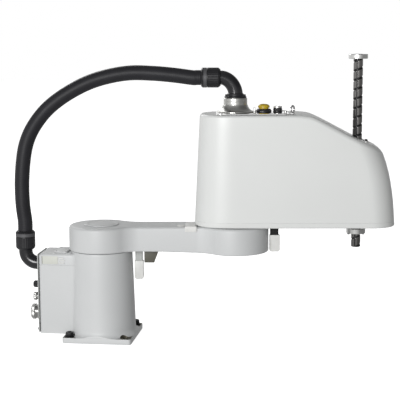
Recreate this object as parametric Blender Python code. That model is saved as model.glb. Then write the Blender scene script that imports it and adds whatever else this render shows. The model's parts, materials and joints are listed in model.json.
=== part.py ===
"""SCARA robot arm: foot, column and connector box, two links, and a rotating ball-screw spline quill.

Metres, +Z up. The origin is on the first axis, on the floor under the foot plate. +X points forward,
away from the connector box. Both links stand at their zero, turned together by REST_YAW.
"""
import math

import bmesh
import bpy
from mathutils import Matrix, Vector

# ---------------------------------------------------------------- driving dimensions
LINK_1 = 0.290                      # first axis to second axis
LINK_2 = 0.260                      # second axis to quill axis
REST_YAW = math.radians(6.2)        # how far the arm stands round from straight ahead
GAP = 0.0003                        # between pieces that touch

PLATE_SIDE = 0.150
PLATE_THICK = 0.012
PLATE_CORNER = 0.006
BOLT_OFFSET = 0.0610                # each way from the first axis
BOLT_HOLE_RADIUS = 0.0055
BOLT_RADIUS = 0.0050
BOLT_HEAD_RADIUS = 0.0080
SPOT_FACE_RADIUS = 0.0115

COLUMN_TOP = 0.1930
COLUMN_TOP_RADIUS = 0.0660
COLUMN_FOOT_RADIUS = 0.0720
COLUMN_BORE = 0.0570
FOOT_FILLET = 0.0120

BOX_REAR = 0.1320                   # behind the first axis
BOX_HALF_WIDTH = 0.0405
BOX_TOP = 0.1880
BOX_WALL = 0.0050
PANEL_THICK = 0.0025

ARM_BOTTOM = 0.1945
ARM_TOP = 0.2480
ARM_RADIUS_1 = 0.0705               # round end on the first axis
ARM_RADIUS_2 = 0.0715               # round end on the second axis
ARM_WAIST = 0.0400                  # half width between the ends
ARM_BLEND = 0.0550                  # radius of the hollow sides by the round ends

HEAD_BOTTOM = 0.2505                # underside of the second link
HEAD_FLOOR = 0.2615                 # top of its floor casting
HEAD_TOP = 0.4880
HEAD_HALF_WIDTH = 0.0750
HEAD_WALL = 0.0040
HEAD_FILLET = 0.0110                # along its sloping back
REAR_FILLET = 0.0060                # round its level rear end
REAR_POWER = 2.6                    # how square its rear end is in plan; 2 is an ellipse

QUILL_RADIUS = 0.0100
QUILL_BOTTOM = 0.1990
QUILL_TOP = 0.6130
COLLAR_RADIUS = 0.0205

HOSE_RADIUS = 0.0160
HOSE_NUT_RADIUS = 0.0215
ELBOW_RADIUS = 0.0140
HOSE_BASE_X = -0.1705               # the hose's foot, behind the first axis
PORT_HEIGHT = 0.1605                # the hose's port in the rear panel
ELBOW_TOP = 0.5640                  # height of the hose's upper nut

BALL_SCREW_Z = 0.3520               # underside of the ball nut
BIG_PULLEY = 0.0300
SMALL_PULLEY = 0.0120
PULLEY_HEIGHT = 0.0140
BELT_THICK = 0.0020
R_MOTOR_AT = 0.185                  # from the second axis
Z_MOTOR_AT = 0.125

# ---------------------------------------------------------------- colours
PAINT = ((0.66, 0.67, 0.65), 0.42, 0.0)
PAINT_GREY = ((0.52, 0.53, 0.52), 0.45, 0.0)
OFF_WHITE = ((0.74, 0.74, 0.68), 0.30, 0.0)
LABEL = ((0.62, 0.62, 0.50), 0.55, 0.0)
BLACK_PLASTIC = ((0.018, 0.018, 0.021), 0.38, 0.0)
BLACK_STEEL = ((0.02, 0.02, 0.02), 0.35, 0.6)
RUBBER = ((0.012, 0.012, 0.013), 0.60, 0.0)
ALUMINIUM = ((0.60, 0.60, 0.58), 0.30, 1.0)
STEEL = ((0.45, 0.45, 0.44), 0.25, 1.0)
YELLOW = ((0.78, 0.56, 0.06), 0.35, 0.0)
OLIVE = ((0.16, 0.15, 0.11), 0.50, 0.2)
BELT = ((0.03, 0.03, 0.03), 0.70, 0.0)


# ---------------------------------------------------------------- helpers
def clear_scene():
    for thing in list(bpy.data.objects):
        bpy.data.objects.remove(thing, do_unlink=True)


def material(name, finish):
    colour, roughness, metallic = finish
    made = bpy.data.materials.new(name)
    made.use_nodes = True
    shader = made.node_tree.nodes["Principled BSDF"]
    shader.inputs["Base Color"].default_value = (*colour, 1.0)
    shader.inputs["Roughness"].default_value = roughness
    shader.inputs["Metallic"].default_value = metallic
    return made


def frame(name, parent=None, place=(0, 0, 0), turn=0.0):
    """An empty that carries the pieces of one body."""
    made = bpy.data.objects.new(name, None)
    made.parent = parent
    made.location = place
    made.rotation_euler = (0, 0, turn)
    bpy.context.collection.objects.link(made)
    return made


def piece(name, shape, finish, parent, place=(0, 0, 0), turn=(0, 0, 0)):
    """Makes a named object of a bmesh."""
    bmesh.ops.recalc_face_normals(shape, faces=shape.faces)
    mesh = bpy.data.meshes.new(name)
    shape.to_mesh(mesh)
    shape.free()
    mesh.shade_smooth()
    mesh.set_sharp_from_angle(angle=math.radians(35))
    mesh.materials.append(material(name, finish))
    made = bpy.data.objects.new(name, mesh)
    made.parent = parent
    made.location = place
    made.rotation_euler = turn
    bpy.context.collection.objects.link(made)
    return made


def cut(target, cutter, operation="DIFFERENCE"):
    """Cuts a hidden shape from a piece, or joins it on."""
    cutter.hide_render = True
    cutter.display_type = "WIRE"
    change = target.modifiers.new(cutter.name, "BOOLEAN")
    change.operation = operation
    change.solver = "EXACT"
    change.object = cutter


def guide(name, shape, parent, place=(0, 0, 0), turn=(0, 0, 0)):
    return piece(name, shape, PAINT, parent, place, turn)


def circle(radius, count, middle=(0, 0)):
    turns = [math.tau * i / count for i in range(count)]
    return [(middle[0] + radius * math.cos(a), middle[1] + radius * math.sin(a)) for a in turns]


def arc(middle, radius, first, last, count):
    """Points along an arc, angles in degrees, both ends included."""
    angles = [math.radians(first + (last - first) * i / count) for i in range(count + 1)]
    return [(middle[0] + radius * math.cos(a), middle[1] + radius * math.sin(a)) for a in angles]


def rounded_box(x0, x1, y0, y1, radius, count=4):
    """A rectangle with round corners, anticlockwise."""
    corners = [(x1 - radius, y1 - radius, 0), (x0 + radius, y1 - radius, 90)]
    corners += [(x0 + radius, y0 + radius, 180), (x1 - radius, y0 + radius, 270)]
    points = []
    for x, y, first in corners:
        points += arc((x, y), radius, first, first + 90, count)
    return points


def prism(outline, bottom, top):
    """An outline in X and Y, pulled up from bottom to top."""
    shape = bmesh.new()
    low = [shape.verts.new((x, y, bottom)) for x, y in outline]
    high = [shape.verts.new((x, y, top)) for x, y in outline]
    shape.faces.new(low)
    shape.faces.new(high)
    for i in range(len(outline)):
        j = (i + 1) % len(outline)
        shape.faces.new((low[i], low[j], high[j], high[i]))
    return shape


def turned(profile, count=32, closed=False):
    """A profile of (radius, height) points turned about Z; a zero radius closes an end on the axis."""
    shape = bmesh.new()
    rows = []
    for radius, height in profile:
        if radius == 0:
            rows.append([shape.verts.new((0, 0, height))])
        else:
            rows.append([shape.verts.new((x, y, height)) for x, y in circle(radius, count)])
    pairs = list(zip(rows, rows[1:]))
    if closed:
        pairs.append((rows[-1], rows[0]))
    for lower, upper in pairs:
        for i in range(count):
            j = (i + 1) % count
            ring = [lower[i % len(lower)], lower[j % len(lower)]]
            ring += [upper[j % len(upper)], upper[i % len(upper)]]
            shape.faces.new(list(dict.fromkeys(ring)))
    return shape


def disc(radius, bottom, top, count=32):
    return turned([(0, bottom), (radius, bottom), (radius, top), (0, top)], count)


def washer(outer, inner, bottom, top, count=32):
    profile = [(inner, bottom), (outer, bottom), (outer, top), (inner, top)]
    return turned(profile, count, closed=True)


def swept(path, radius, count=12):
    """A round bar along a path, with flat ends."""
    shape = bmesh.new()
    rows = []
    side = None
    for i, point in enumerate(path):
        ahead = (path[min(i + 1, len(path) - 1)] - path[max(i - 1, 0)]).normalized()
        if side is None:
            side = ahead.orthogonal().normalized()
        side = (side - ahead * side.dot(ahead)).normalized()
        up = ahead.cross(side)
        row = [point + radius * (x * side + y * up) for x, y in circle(1, count)]
        rows.append([shape.verts.new(place) for place in row])
    for lower, upper in zip(rows, rows[1:]):
        for i in range(count):
            j = (i + 1) % count
            shape.faces.new((lower[i], lower[j], upper[j], upper[i]))
    shape.faces.new(rows[0])
    shape.faces.new(rows[-1])
    return shape


def along_x(shape):
    """Turns a piece made about Z so that its axis points along -X."""
    shape.transform(Matrix.Rotation(math.radians(-90), 4, "Y"))
    return shape


def curve_through(points, steps):
    """A smooth (Catmull-Rom) line through the points, with steps pieces between each two."""
    ends = [2 * points[0] - points[1], *points, 2 * points[-1] - points[-2]]
    line = []
    for a, b, c, d in zip(ends, ends[1:], ends[2:], ends[3:]):
        for i in range(steps):
            t = i / steps
            bend = (2 * a - 5 * b + 4 * c - d) * t * t + (3 * b - a - 3 * c + d) * t ** 3
            line.append(0.5 * (2 * b + (c - a) * t + bend))
    return line + [points[-1]]


# ---------------------------------------------------------------- base
def base_casting(base):
    """Foot plate, hollow column and the box behind it, cast in one."""
    half = PLATE_SIDE / 2
    plate = prism(rounded_box(-half, half, -half, half, PLATE_CORNER), 0, PLATE_THICK)
    casting = piece("base_casting", plate, PAINT, base)

    fillet = arc((COLUMN_FOOT_RADIUS + FOOT_FILLET, PLATE_THICK + FOOT_FILLET), FOOT_FILLET, 270, 180, 5)
    inside = PLATE_THICK / 2
    column = turned([(0, inside), (fillet[0][0], inside), *fillet, (COLUMN_TOP_RADIUS, COLUMN_TOP),
                     (0, COLUMN_TOP)], 48)
    column_guide = guide("column_guide", column, base)
    edge = half - GAP
    bounds = prism(rounded_box(-edge, edge, -edge, edge, PLATE_CORNER), 0, COLUMN_TOP + 0.01)
    cut(column_guide, guide("column_bounds", bounds, base), "INTERSECT")
    cut(casting, column_guide, "UNION")
    half_box = BOX_HALF_WIDTH
    box = prism(rounded_box(-BOX_REAR, 0, -half_box, half_box, 0.004), PLATE_THICK, BOX_TOP)
    cut(casting, guide("box_guide", box, base), "UNION")

    cut(casting, guide("column_bore", disc(COLUMN_BORE, PLATE_THICK, COLUMN_TOP + 0.01, 36), base))
    inner = half_box - BOX_WALL
    hollow = prism(rounded_box(-BOX_REAR - 0.01, 0, -inner, inner, 0.003), PLATE_THICK + BOX_WALL,
                   BOX_TOP - BOX_WALL)
    cut(casting, guide("box_hollow", hollow, base))
    for x in (-1, 1):
        for y in (-1, 1):
            place = (x * BOLT_OFFSET, y * BOLT_OFFSET, 0)
            drill = turned([(0, -0.01), (BOLT_HOLE_RADIUS, -0.01), (BOLT_HOLE_RADIUS, PLATE_THICK),
                            (SPOT_FACE_RADIUS, PLATE_THICK), (SPOT_FACE_RADIUS, 0.045), (0, 0.045)], 20)
            cut(casting, guide(f"bolt_drill_{x + 1}_{y + 1}", drill, base, place))


def base_bolts(base):
    """Socket-head screws in two opposite corners of the foot plate."""
    head = PLATE_THICK + GAP
    socket = 0.0042
    profile = [(0, 0.0008), (BOLT_RADIUS, 0.0008), (BOLT_RADIUS, head), (BOLT_HEAD_RADIUS, head),
               (BOLT_HEAD_RADIUS, head + 0.0092), (BOLT_HEAD_RADIUS - 0.0008, head + 0.010),
               (socket, head + 0.010), (socket, head + 0.005), (0, head + 0.005)]
    for name, side in (("base_bolt_front", -1), ("base_bolt_rear", 1)):
        place = (side * BOLT_OFFSET, side * BOLT_OFFSET, 0)
        piece(name, turned(profile, 18), BLACK_STEEL, base, place)


def box_covers(base):
    """Rear connector panel, the plate on top of the box, and the blank label plate on its side."""
    low = PLATE_THICK + 0.001
    panel = prism(rounded_box(low, BOX_TOP - 0.001, -BOX_HALF_WIDTH, BOX_HALF_WIDTH, 0.003), 0, PANEL_THICK)
    made = piece("rear_panel", along_x(panel), BLACK_STEEL, base, (-BOX_REAR - GAP, 0, 0))
    hole = disc(0.012, -0.005, 0.010, 24)
    cut(made, guide("port_hole", along_x(hole), base, (-BOX_REAR, 0, PORT_HEIGHT)))

    lid = prism(rounded_box(-0.101, -0.0715, -0.028, 0.028, 0.004), 0, 0.0028)
    piece("box_top_cover", lid, PAINT_GREY, base, (0, 0, BOX_TOP + GAP))

    label = prism(rounded_box(-0.123, -0.089, 0.166, 0.183, 0.001, 2), 0, 0.0006)
    piece("label_plate", label, LABEL, base, (0, -BOX_HALF_WIDTH - GAP, 0), (math.radians(90), 0, 0))


def rear_connectors(base):
    """Round connectors and fittings on the rear panel."""
    face = -BOX_REAR - GAP - PANEL_THICK - GAP
    side = -0.020
    power = turned([(0, 0), (0.018, 0), (0.018, 0.003), (0.0150, 0.003), (0.0150, 0.008), (0.0172, 0.009),
                    (0.0172, 0.0165), (0.0155, 0.018), (0, 0.018)], 24)
    piece("power_connector", along_x(power), STEEL, base, (face, side, 0.0560))
    signal = turned([(0, 0), (0.0092, 0), (0.0092, 0.0030), (0.0075, 0.0030), (0.0075, 0.006),
                     (0.0090, 0.007), (0.0090, 0.0135), (0, 0.0135)], 20)
    piece("signal_connector", along_x(signal), STEEL, base, (face, side, 0.0900))
    user = turned([(0, 0), (0.0075, 0), (0.0075, 0.0125), (0.0065, 0.0135), (0, 0.0135)], 20)
    piece("user_connector", along_x(user), BLACK_STEEL, base, (face, side, 0.1170))
    fitting = turned([(0, 0), (0.0055, 0), (0.0055, 0.004), (0.0045, 0.005), (0.0045, 0.011),
                      (0.0025, 0.011), (0.0025, 0.008), (0, 0.008)], 16)
    for name, height in (("air_fitting_upper", 0.1170), ("air_fitting_lower", 0.0900)):
        piece(name, along_x(fitting.copy()), STEEL, base, (face, 0.018, height))
    fitting.free()


def lower_hose_end(base):
    """The elbow that leaves the rear panel, and the union nut that grips the hose."""
    face = -BOX_REAR - PANEL_THICK - 3 * GAP
    bend = 0.0255
    flange = 0.0035
    start = Vector((face - flange / 2, 0, PORT_HEIGHT))
    middle = Vector((HOSE_BASE_X + bend, 0, PORT_HEIGHT + bend))
    path = [start]
    for i in range(6):
        angle = math.radians(90) * i / 5
        path.append(middle + bend * Vector((-math.sin(angle), 0, -math.cos(angle))))
    nut_bottom = 0.1900
    path.append(Vector((HOSE_BASE_X, 0, nut_bottom - GAP)))
    elbow = piece("hose_elbow_lower", swept(path, ELBOW_RADIUS, 12), BLACK_PLASTIC, base)
    plate = disc(HOSE_NUT_RADIUS, 0, flange, 24)
    cut(elbow, guide("lower_flange", along_x(plate), base, (face, 0, PORT_HEIGHT)), "UNION")
    nut = turned(nut_profile(0.041), 20)
    piece("hose_nut_lower", nut, BLACK_PLASTIC, base, (HOSE_BASE_X, 0, nut_bottom))


def nut_profile(length):
    """A union nut from its elbow end up to the hose: a body, a raised ring and a chamfer."""
    body = HOSE_NUT_RADIUS - 0.0010
    ring = 0.7 * length
    return [(0, 0), (body - 0.004, 0), (body, 0.004), (body, ring), (HOSE_NUT_RADIUS, ring + 0.001),
            (HOSE_NUT_RADIUS, length - 0.004), (HOSE_NUT_RADIUS - 0.003, length), (0, length)]


def first_drive(base):
    """Motor and strain-wave gear of the first axis, inside the column."""
    motor = prism(rounded_box(-0.030, 0.030, -0.030, 0.030, 0.006), 0.045, 0.1450)
    piece("j1_motor", motor, BLACK_STEEL, base)
    gear = turned([(0, 0.1453), (0.044, 0.1453), (0.044, 0.1600), (COLUMN_BORE - 0.0005, 0.1600),
                   (COLUMN_BORE - 0.0005, COLUMN_TOP - 0.0010), (0, COLUMN_TOP - 0.0010)], 36)
    piece("j1_gear_unit", gear, STEEL, base)


# ---------------------------------------------------------------- cable hose
def cable_hose(base):
    """The cable hose: up behind the column, then over the arm to the second axis."""
    sweep = Matrix.Rotation(REST_YAW, 4, "Z")
    foot = Vector((HOSE_BASE_X, 0, 0.2315))
    rise = Vector((HOSE_BASE_X, 0, 0.2520))
    loop = [(-0.1735, 0.018, 0.290), (-0.1740, 0.018, 0.340), (-0.1690, 0.018, 0.393),
            (-0.1600, 0.018, 0.430), (-0.1430, 0.017, 0.463), (-0.1160, 0.016, 0.496),
            (-0.0790, 0.015, 0.525), (-0.0310, 0.013, 0.551), (0.0150, 0.011, 0.566),
            (0.0650, 0.009, 0.574), (0.1150, 0.006, 0.5730), (0.1600, 0.003, 0.5690)]
    last = [(LINK_1 - back, 0.0, ELBOW_TOP) for back in (0.0920, 0.0830, 0.0735)]
    route = [foot, rise, *(sweep @ Vector(point) for point in [*loop, *last])]
    line = curve_through(route, 2)
    curve = bpy.data.curves.new("cable_hose", "CURVE")
    curve.dimensions = "3D"
    spline = curve.splines.new("POLY")
    spline.points.add(len(line) - 1)
    for target, place in zip(spline.points, line):
        target.co = (*place, 1.0)
    curve.bevel_depth = HOSE_RADIUS
    curve.bevel_resolution = 3
    curve.render_resolution_u = 0
    curve.use_fill_caps = True
    curve.materials.append(material("cable_hose", RUBBER))
    made = bpy.data.objects.new("cable_hose", curve)
    made.parent = base
    bpy.context.collection.objects.link(made)


# ---------------------------------------------------------------- first link
def link_outline(radius_1, radius_2, waist, blend, count=20):
    """Two round ends joined by hollow sides, anticlockwise from the first end's rear."""
    def touch(radius):
        drop = waist + blend
        return math.acos(drop / (radius + blend))

    points = []
    first = touch(radius_1)
    second = touch(radius_2)
    turn_1 = math.degrees(math.pi / 2 - first)
    turn_2 = math.degrees(math.pi / 2 - second)
    middle_1 = ((radius_1 + blend) * math.sin(first), waist + blend)
    middle_2 = (LINK_1 - (radius_2 + blend) * math.sin(second), waist + blend)
    points += arc((0, 0), radius_1, 180, 360 - turn_1, count)[:-1]
    points += arc((middle_1[0], -middle_1[1]), blend, 180 - turn_1, 90, 5)
    points += arc((middle_2[0], -middle_2[1]), blend, 90, turn_2, 5)[:-1]
    points += arc((LINK_1, 0), radius_2, -180 + turn_2, 180 - turn_2, 2 * count)[:-1]
    points += arc(middle_2, blend, -turn_2, -90, 5)
    points += arc(middle_1, blend, -90, -180 + turn_1, 5)[:-1]
    points += arc((0, 0), radius_1, turn_1, 180, count)[:-1]
    return points


def first_link(arm):
    """The first link's casting, with its drive seats and a pocket that a cover closes."""
    outline = link_outline(ARM_RADIUS_1, ARM_RADIUS_2, ARM_WAIST, ARM_BLEND)
    body = prism(outline, ARM_BOTTOM, ARM_TOP)
    casting = piece("lower_arm_casting", body, PAINT, arm)
    rim = [edge for edge in casting.data.edges if all(casting.data.vertices[v].co.z > ARM_TOP - GAP
                                                     for v in edge.vertices)]
    weights = casting.data.attributes.new("bevel_weight_edge", "FLOAT", "EDGE")
    for edge in rim:
        weights.data[edge.index].value = 1.0
    round_over = casting.modifiers.new("top_edge", "BEVEL")
    round_over.limit_method = "WEIGHT"
    round_over.width = 0.006
    round_over.segments = 2

    seat_1 = disc(0.0465, ARM_BOTTOM - 0.01, 0.2060, 40)
    cut(casting, guide("j1_seat", seat_1, arm))
    seat_2 = disc(0.0465, 0.2360, ARM_TOP + 0.01, 40)
    cut(casting, guide("j2_seat", seat_2, arm, (LINK_1, 0, 0)))
    pocket = prism(rounded_box(0.062, 0.214, -0.026, 0.026, 0.008), ARM_BOTTOM - 0.01, 0.2380)
    cut(casting, guide("arm_pocket", pocket, arm))
    ledge = prism(rounded_box(0.056, 0.220, -0.032, 0.032, 0.010), ARM_BOTTOM - 0.01, ARM_BOTTOM + 0.0035)
    cut(casting, guide("arm_cover_seat", ledge, arm))

    cover = prism(rounded_box(0.0565, 0.2195, -0.0315, 0.0315, 0.0095), ARM_BOTTOM + 0.0002,
                  ARM_BOTTOM + 0.0031)
    piece("lower_arm_cover", cover, PAINT_GREY, arm)
    flange_1 = disc(0.0460, ARM_BOTTOM - 0.0010, 0.2056, 40)
    piece("j1_output_flange", flange_1, STEEL, arm)
    flange_2 = disc(0.0460, 0.2364, ARM_TOP + 0.0008, 40)
    piece("j2_output_flange", flange_2, STEEL, arm, (LINK_1, 0, 0))
    cap = turned([(0, 0), (0.0375, 0), (0.0375, 0.0012), (0.0365, 0.0018), (0, 0.0018)], 40)
    piece("j1_cap", cap, PAINT, arm, (0, 0, ARM_TOP + GAP))


def stop_block(length, width, height):
    """A hard stop: an upright block whose lower corners are round."""
    outline = [(0.0, height)] + arc((0.005, 0.005), 0.005, 180, 270, 4)
    outline += arc((length - 0.005, 0.005), 0.005, 270, 360, 4) + [(length, height)]
    shape = prism(outline, -width / 2, width / 2)
    shape.transform(Matrix.Rotation(math.radians(90), 4, "X"))
    return shape


def first_link_stops(arm):
    """What hangs from the first link by the column, and the pad on its top by the second link."""
    block = stop_block(0.0195, 0.012, 0.0410)
    piece("j1_stop_block", block, OFF_WHITE, arm, (0.0710, 0, 0.1275))
    spacer = prism(rounded_box(0.0725, 0.0885, -0.0060, 0.0060, 0.002), 0.1688, ARM_BOTTOM - GAP)
    piece("j1_stop_spacer", spacer, RUBBER, arm)
    # a bracket whose far end slants in towards its foot
    outline = [(0.0925, ARM_BOTTOM - GAP), (0.0925, 0.1650), (0.1140, 0.1650), (0.1250, ARM_BOTTOM - GAP)]
    bracket = prism([(x, z) for x, z in outline], -0.010, 0.010)
    bracket.transform(Matrix.Rotation(math.radians(90), 4, "X"))
    piece("j1_stop_bracket", bracket, OLIVE, arm)
    # a bumper laid over the link's near edge: a thin plate on top and a lip down the side
    thick = 0.0016
    side = -ARM_WAIST - GAP
    lip = side - 0.0028
    bottom = ARM_TOP - 0.0100
    top = ARM_TOP + GAP
    profile = [(0.018, top), (0.018, top + thick), (lip, top + thick), (lip, bottom), (side, bottom),
               (side, top)]
    pad = prism(profile, 0, 0.025)
    pad.transform(Matrix.Rotation(math.radians(90), 4, "Z") @ Matrix.Rotation(math.radians(90), 4, "X"))
    piece("j2_stop_pad", pad, OFF_WHITE, arm, (LINK_1 - 0.108, 0, 0))
    lug = turned([(0, 0), (0.0070, 0), (0.0070, 0.0008), (0.0050, 0.0016), (0, 0.0016)], 20)
    piece("j2_stop_lug", lug, OFF_WHITE, arm, (LINK_1 - 0.1165, -0.018, ARM_TOP + GAP))


# ---------------------------------------------------------------- second link
def blend_through(knots, at):
    """The value at one place on a smooth line through (place, value) knots, flat beyond its ends."""
    if at <= knots[0][0]:
        return knots[0][1]
    if at >= knots[-1][0]:
        return knots[-1][1]
    count = len(knots)
    slopes = []
    for i in range(count):
        before = knots[max(i - 1, 0)]
        after = knots[min(i + 1, count - 1)]
        slopes.append((after[1] - before[1]) / (after[0] - before[0]))
    i = next(i for i in range(count - 1) if at <= knots[i + 1][0])
    span = knots[i + 1][0] - knots[i][0]
    t = (at - knots[i][0]) / span
    rise = knots[i + 1][1] - knots[i][1]
    ease = t * t * (3 - 2 * t)
    bend = t * (1 - t) * ((1 - t) * slopes[i] - t * slopes[i + 1]) * span
    return knots[i][1] + rise * ease + bend


# how high the cover's back is, and how far its nose reaches, both from the second axis
BACK = [(0.135, 0.488), (0.157, 0.4855), (0.174, 0.479), (0.204, 0.464), (0.230, 0.450),
        (0.255, 0.437), (0.280, 0.427), (0.300, 0.4195), (0.320, 0.4095)]
NOSE = [(0.250, 0.339), (0.301, 0.3355), (0.331, 0.3315), (0.358, 0.3265), (0.386, 0.319),
        (0.414, 0.3085), (0.440, 0.297)]
REAR = [(0.250, 0.088), (0.490, 0.076)]


def head_outline(height, inset=0.0, count=10):
    """The second link's outline at one height: a round rear end and a nose with wide round corners."""
    rear = blend_through(REAR, height)
    nose = blend_through(NOSE, height) - inset
    half = HEAD_HALF_WIDTH - 0.004 * (height - HEAD_BOTTOM) / (HEAD_TOP - HEAD_BOTTOM) - inset
    corner = 0.050 - inset
    long_rear = rear - inset
    points = []
    for i in range(2 * count + 1):
        angle = math.radians(90 + 90 * i / count)
        x = abs(math.cos(angle)) ** (2 / REAR_POWER)
        y = math.copysign(abs(math.sin(angle)) ** (2 / REAR_POWER), math.sin(angle))
        points.append((-long_rear * x, half * y))
    points += arc((nose - corner, -half + corner), corner, 270, 360, count)
    points += arc((nose - corner, half - corner), corner, 0, 90, count)
    for i in range(1, 6):
        along = nose - corner - (nose - corner) * i / 6
        points.append((along, half))
        points.insert(2 * count + i, ((nose - corner) * i / 6, -half))
    return points


def back_fillet(at):
    return blend_through([(0.110, REAR_FILLET), (0.200, HEAD_FILLET)], at)


def head_shell_shape(inset, bottom, steps):
    """The second link's closed form, pulled in by inset, with a fillet round its back."""
    shape = bmesh.new()
    rows = []
    count = len(head_outline(bottom))

    def back(at):
        return blend_through(BACK, at) - inset

    def level(share, angle):
        row = []
        for i in range(count):
            x, y = head_outline(bottom, inset)[i]
            height = bottom
            for _ in range(4):
                fillet = back_fillet(x) - inset / 2
                height = bottom + share * (back(x) - fillet - bottom) + fillet * math.sin(angle)
                x, y = head_outline(height, inset + fillet * (1 - math.cos(angle)))[i]
            row.append(shape.verts.new((x, y, height)))
        return row

    for share in (0, 0.3, 0.6, 0.8, 1):
        rows.append(level(share, 0))
    for i in range(1, steps + 1):
        rows.append(level(1, math.radians(90) * i / steps))
    for lower, upper in zip(rows, rows[1:]):
        for i in range(count):
            j = (i + 1) % count
            shape.faces.new((lower[i], lower[j], upper[j], upper[i]))
    shape.faces.new(rows[0])
    top = rows[-1]
    shape.faces.new(top)
    bmesh.ops.triangulate(shape, faces=[face for face in shape.faces if len(face.verts) > 4])
    return shape


def second_link_floor(head):
    """The second link's floor casting, with its drive seat and the quill's hole."""
    floor = prism(head_outline(HEAD_BOTTOM), HEAD_BOTTOM, HEAD_FLOOR)
    casting = piece("upper_arm_floor", floor, PAINT, head)
    cut(casting, guide("drive_seat", disc(0.0450, HEAD_BOTTOM - 0.01, HEAD_FLOOR + 0.01, 40), head))
    cut(casting, guide("quill_hole", disc(0.0280, HEAD_BOTTOM - 0.01, HEAD_FLOOR + 0.01, 32), head,
                       (LINK_2, 0, 0)))


def second_link_cover(head):
    """The one-piece cover over the second link, open below, under the panel and round the quill."""
    outer = head_shell_shape(0, HEAD_FLOOR + GAP, 3)
    cover = piece("upper_arm_cover", outer, PAINT, head)
    inner = head_shell_shape(HEAD_WALL, HEAD_FLOOR - 0.01, 2)
    cut(cover, guide("cover_hollow", inner, head))
    window = prism(rounded_box(-0.030, 0.105, -0.030, 0.030, 0.008), HEAD_TOP - 0.02, HEAD_TOP + 0.02)
    cut(cover, guide("panel_window", window, head))
    slot = prism(rounded_box(-0.0140, 0.0270, -0.0140, 0.0140, 0.0139), 0.40, 0.46)
    cut(cover, guide("quill_window", slot, head, (LINK_2, 0, 0)))


def top_panel(head):
    """The bright plate on the cover's back, and what is screwed to it."""
    plate = prism(rounded_box(-0.041, 0.112, -0.0580, 0.0580, 0.010), HEAD_TOP + GAP, HEAD_TOP + 0.0023)
    piece("top_panel", plate, ALUMINIUM, head)
    face = HEAD_TOP + 0.0026
    cone = turned([(0, 0), (0.0395, 0), (0.0395, 0.0015), (0.0255, 0.0115), (0.0255, 0.0120),
                   (0, 0.0120)], 36)
    piece("gland_cone", cone, ALUMINIUM, head, (0, 0, face))
    collar = disc(0.0255, 0.0123, 0.0305, 36)
    piece("gland_collar", collar, ALUMINIUM, head, (0, 0, face))

    ring = turned([(0.0062, 0), (0.0165, 0), (0.0165, 0.0040), (0.0150, 0.0070), (0.0108, 0.0070),
                   (0.0108, 0.0030), (0.0062, 0.0030)], 24, closed=True)
    piece("button_base", ring, BLACK_PLASTIC, head, (0.0605, 0, face))
    socket = turned([(0, 0), (0.0100, 0), (0.0100, 0.0080), (0.0088, 0.0090), (0.0088, 0.0125),
                     (0.0062, 0.0125), (0.0062, 0.0095), (0, 0.0095)], 20)
    piece("user_socket", socket, BLACK_PLASTIC, head, (0.0900, 0, face))
    pin = turned([(0, 0), (0.0030, 0), (0.0030, 0.0025), (0.0018, 0.0035), (0.0018, 0.0120), (0, 0.0120)], 12)
    piece("guide_pin", pin, STEEL, head, (0.0400, -0.020, face))
    screw = turned([(0, 0), (0.0032, 0), (0.0032, 0.0030), (0.0022, 0.0040), (0, 0.0040)], 12)
    piece("earth_screw", screw, STEEL, head, (0.1060, -0.018, face))
    lifting_eye(head)


def lifting_eye(head):
    """A small eye bolt in front of the panel: a collar, a neck and a ring."""
    face = HEAD_TOP + GAP
    collar = turned([(0, 0), (0.0055, 0), (0.0055, 0.0012), (0.0026, 0.0024), (0.0026, 0.0030),
                     (0, 0.0030)], 16)
    place = (0.1200, -0.030, face)
    made = piece("lifting_eye", collar, STEEL, head, place)
    ring = bmesh.new()
    rows = []
    for x, z in circle(0.0070, 16):
        middle = Vector((x, 0, z))
        out = middle.normalized()
        row = [middle + 0.0022 * (a * out + b * Vector((0, 1, 0))) for a, b in circle(1, 8)]
        rows.append([ring.verts.new(point) for point in row])
    for i, row in enumerate(rows):
        following = rows[(i + 1) % len(rows)]
        for k in range(8):
            m = (k + 1) % 8
            ring.faces.new((row[k], row[m], following[m], following[k]))
    spot = (place[0], place[1], face + 0.0030 + 0.0070)
    cut(made, guide("eye_ring", ring, head, spot, (0, 0, math.radians(75))), "UNION")


def release_button(head):
    """The mushroom-headed brake release button, which travels 2 mm."""
    button = turned([(0, 0.0028), (0.0055, 0.0028), (0.0055, 0.0056), (0.0100, 0.0056), (0.0100, 0.0105),
                     (0.0092, 0.0135), (0.0070, 0.0160), (0.0038, 0.0172), (0, 0.0175)], 24)
    piece("brake_release_button", button, YELLOW, head, (0.0605, 0, HEAD_TOP + 0.0026))


def upper_hose_end(head):
    """The elbow over the second axis and its union nut; they turn on the gland collar."""
    swivel = HEAD_TOP + 0.0026 + 0.0305 + 0.0005
    bend = 0.0285
    flange = 0.0030
    middle = Vector((-bend, 0, ELBOW_TOP - bend))
    path = [Vector((0, 0, swivel + flange / 2))]
    for i in range(6):
        angle = math.radians(90) * i / 5
        path.append(middle + bend * Vector((math.cos(angle), 0, math.sin(angle))))
    nut_face = -0.0315
    path.append(Vector((nut_face + GAP, 0, ELBOW_TOP)))
    elbow = piece("hose_elbow_upper", swept(path, ELBOW_RADIUS, 12), BLACK_PLASTIC, head)
    cut(elbow, guide("upper_flange", disc(0.0235, 0, flange, 24), head, (0, 0, swivel)), "UNION")
    nut = turned(nut_profile(0.0415), 20)
    piece("hose_nut_upper", along_x(nut), BLACK_PLASTIC, head, (nut_face, 0, ELBOW_TOP))
    head_profile = [(0, 0), (0.0030, 0), (0.0030, 0.0030), (0.0025, 0.0035), (0, 0.0035)]
    for name, side in (("elbow_screw_rear", -1), ("elbow_screw_front", 1)):
        place = (side * 0.0190, 0, swivel + flange + GAP)
        piece(name, turned(head_profile, 14), BLACK_STEEL, head, place)


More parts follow.
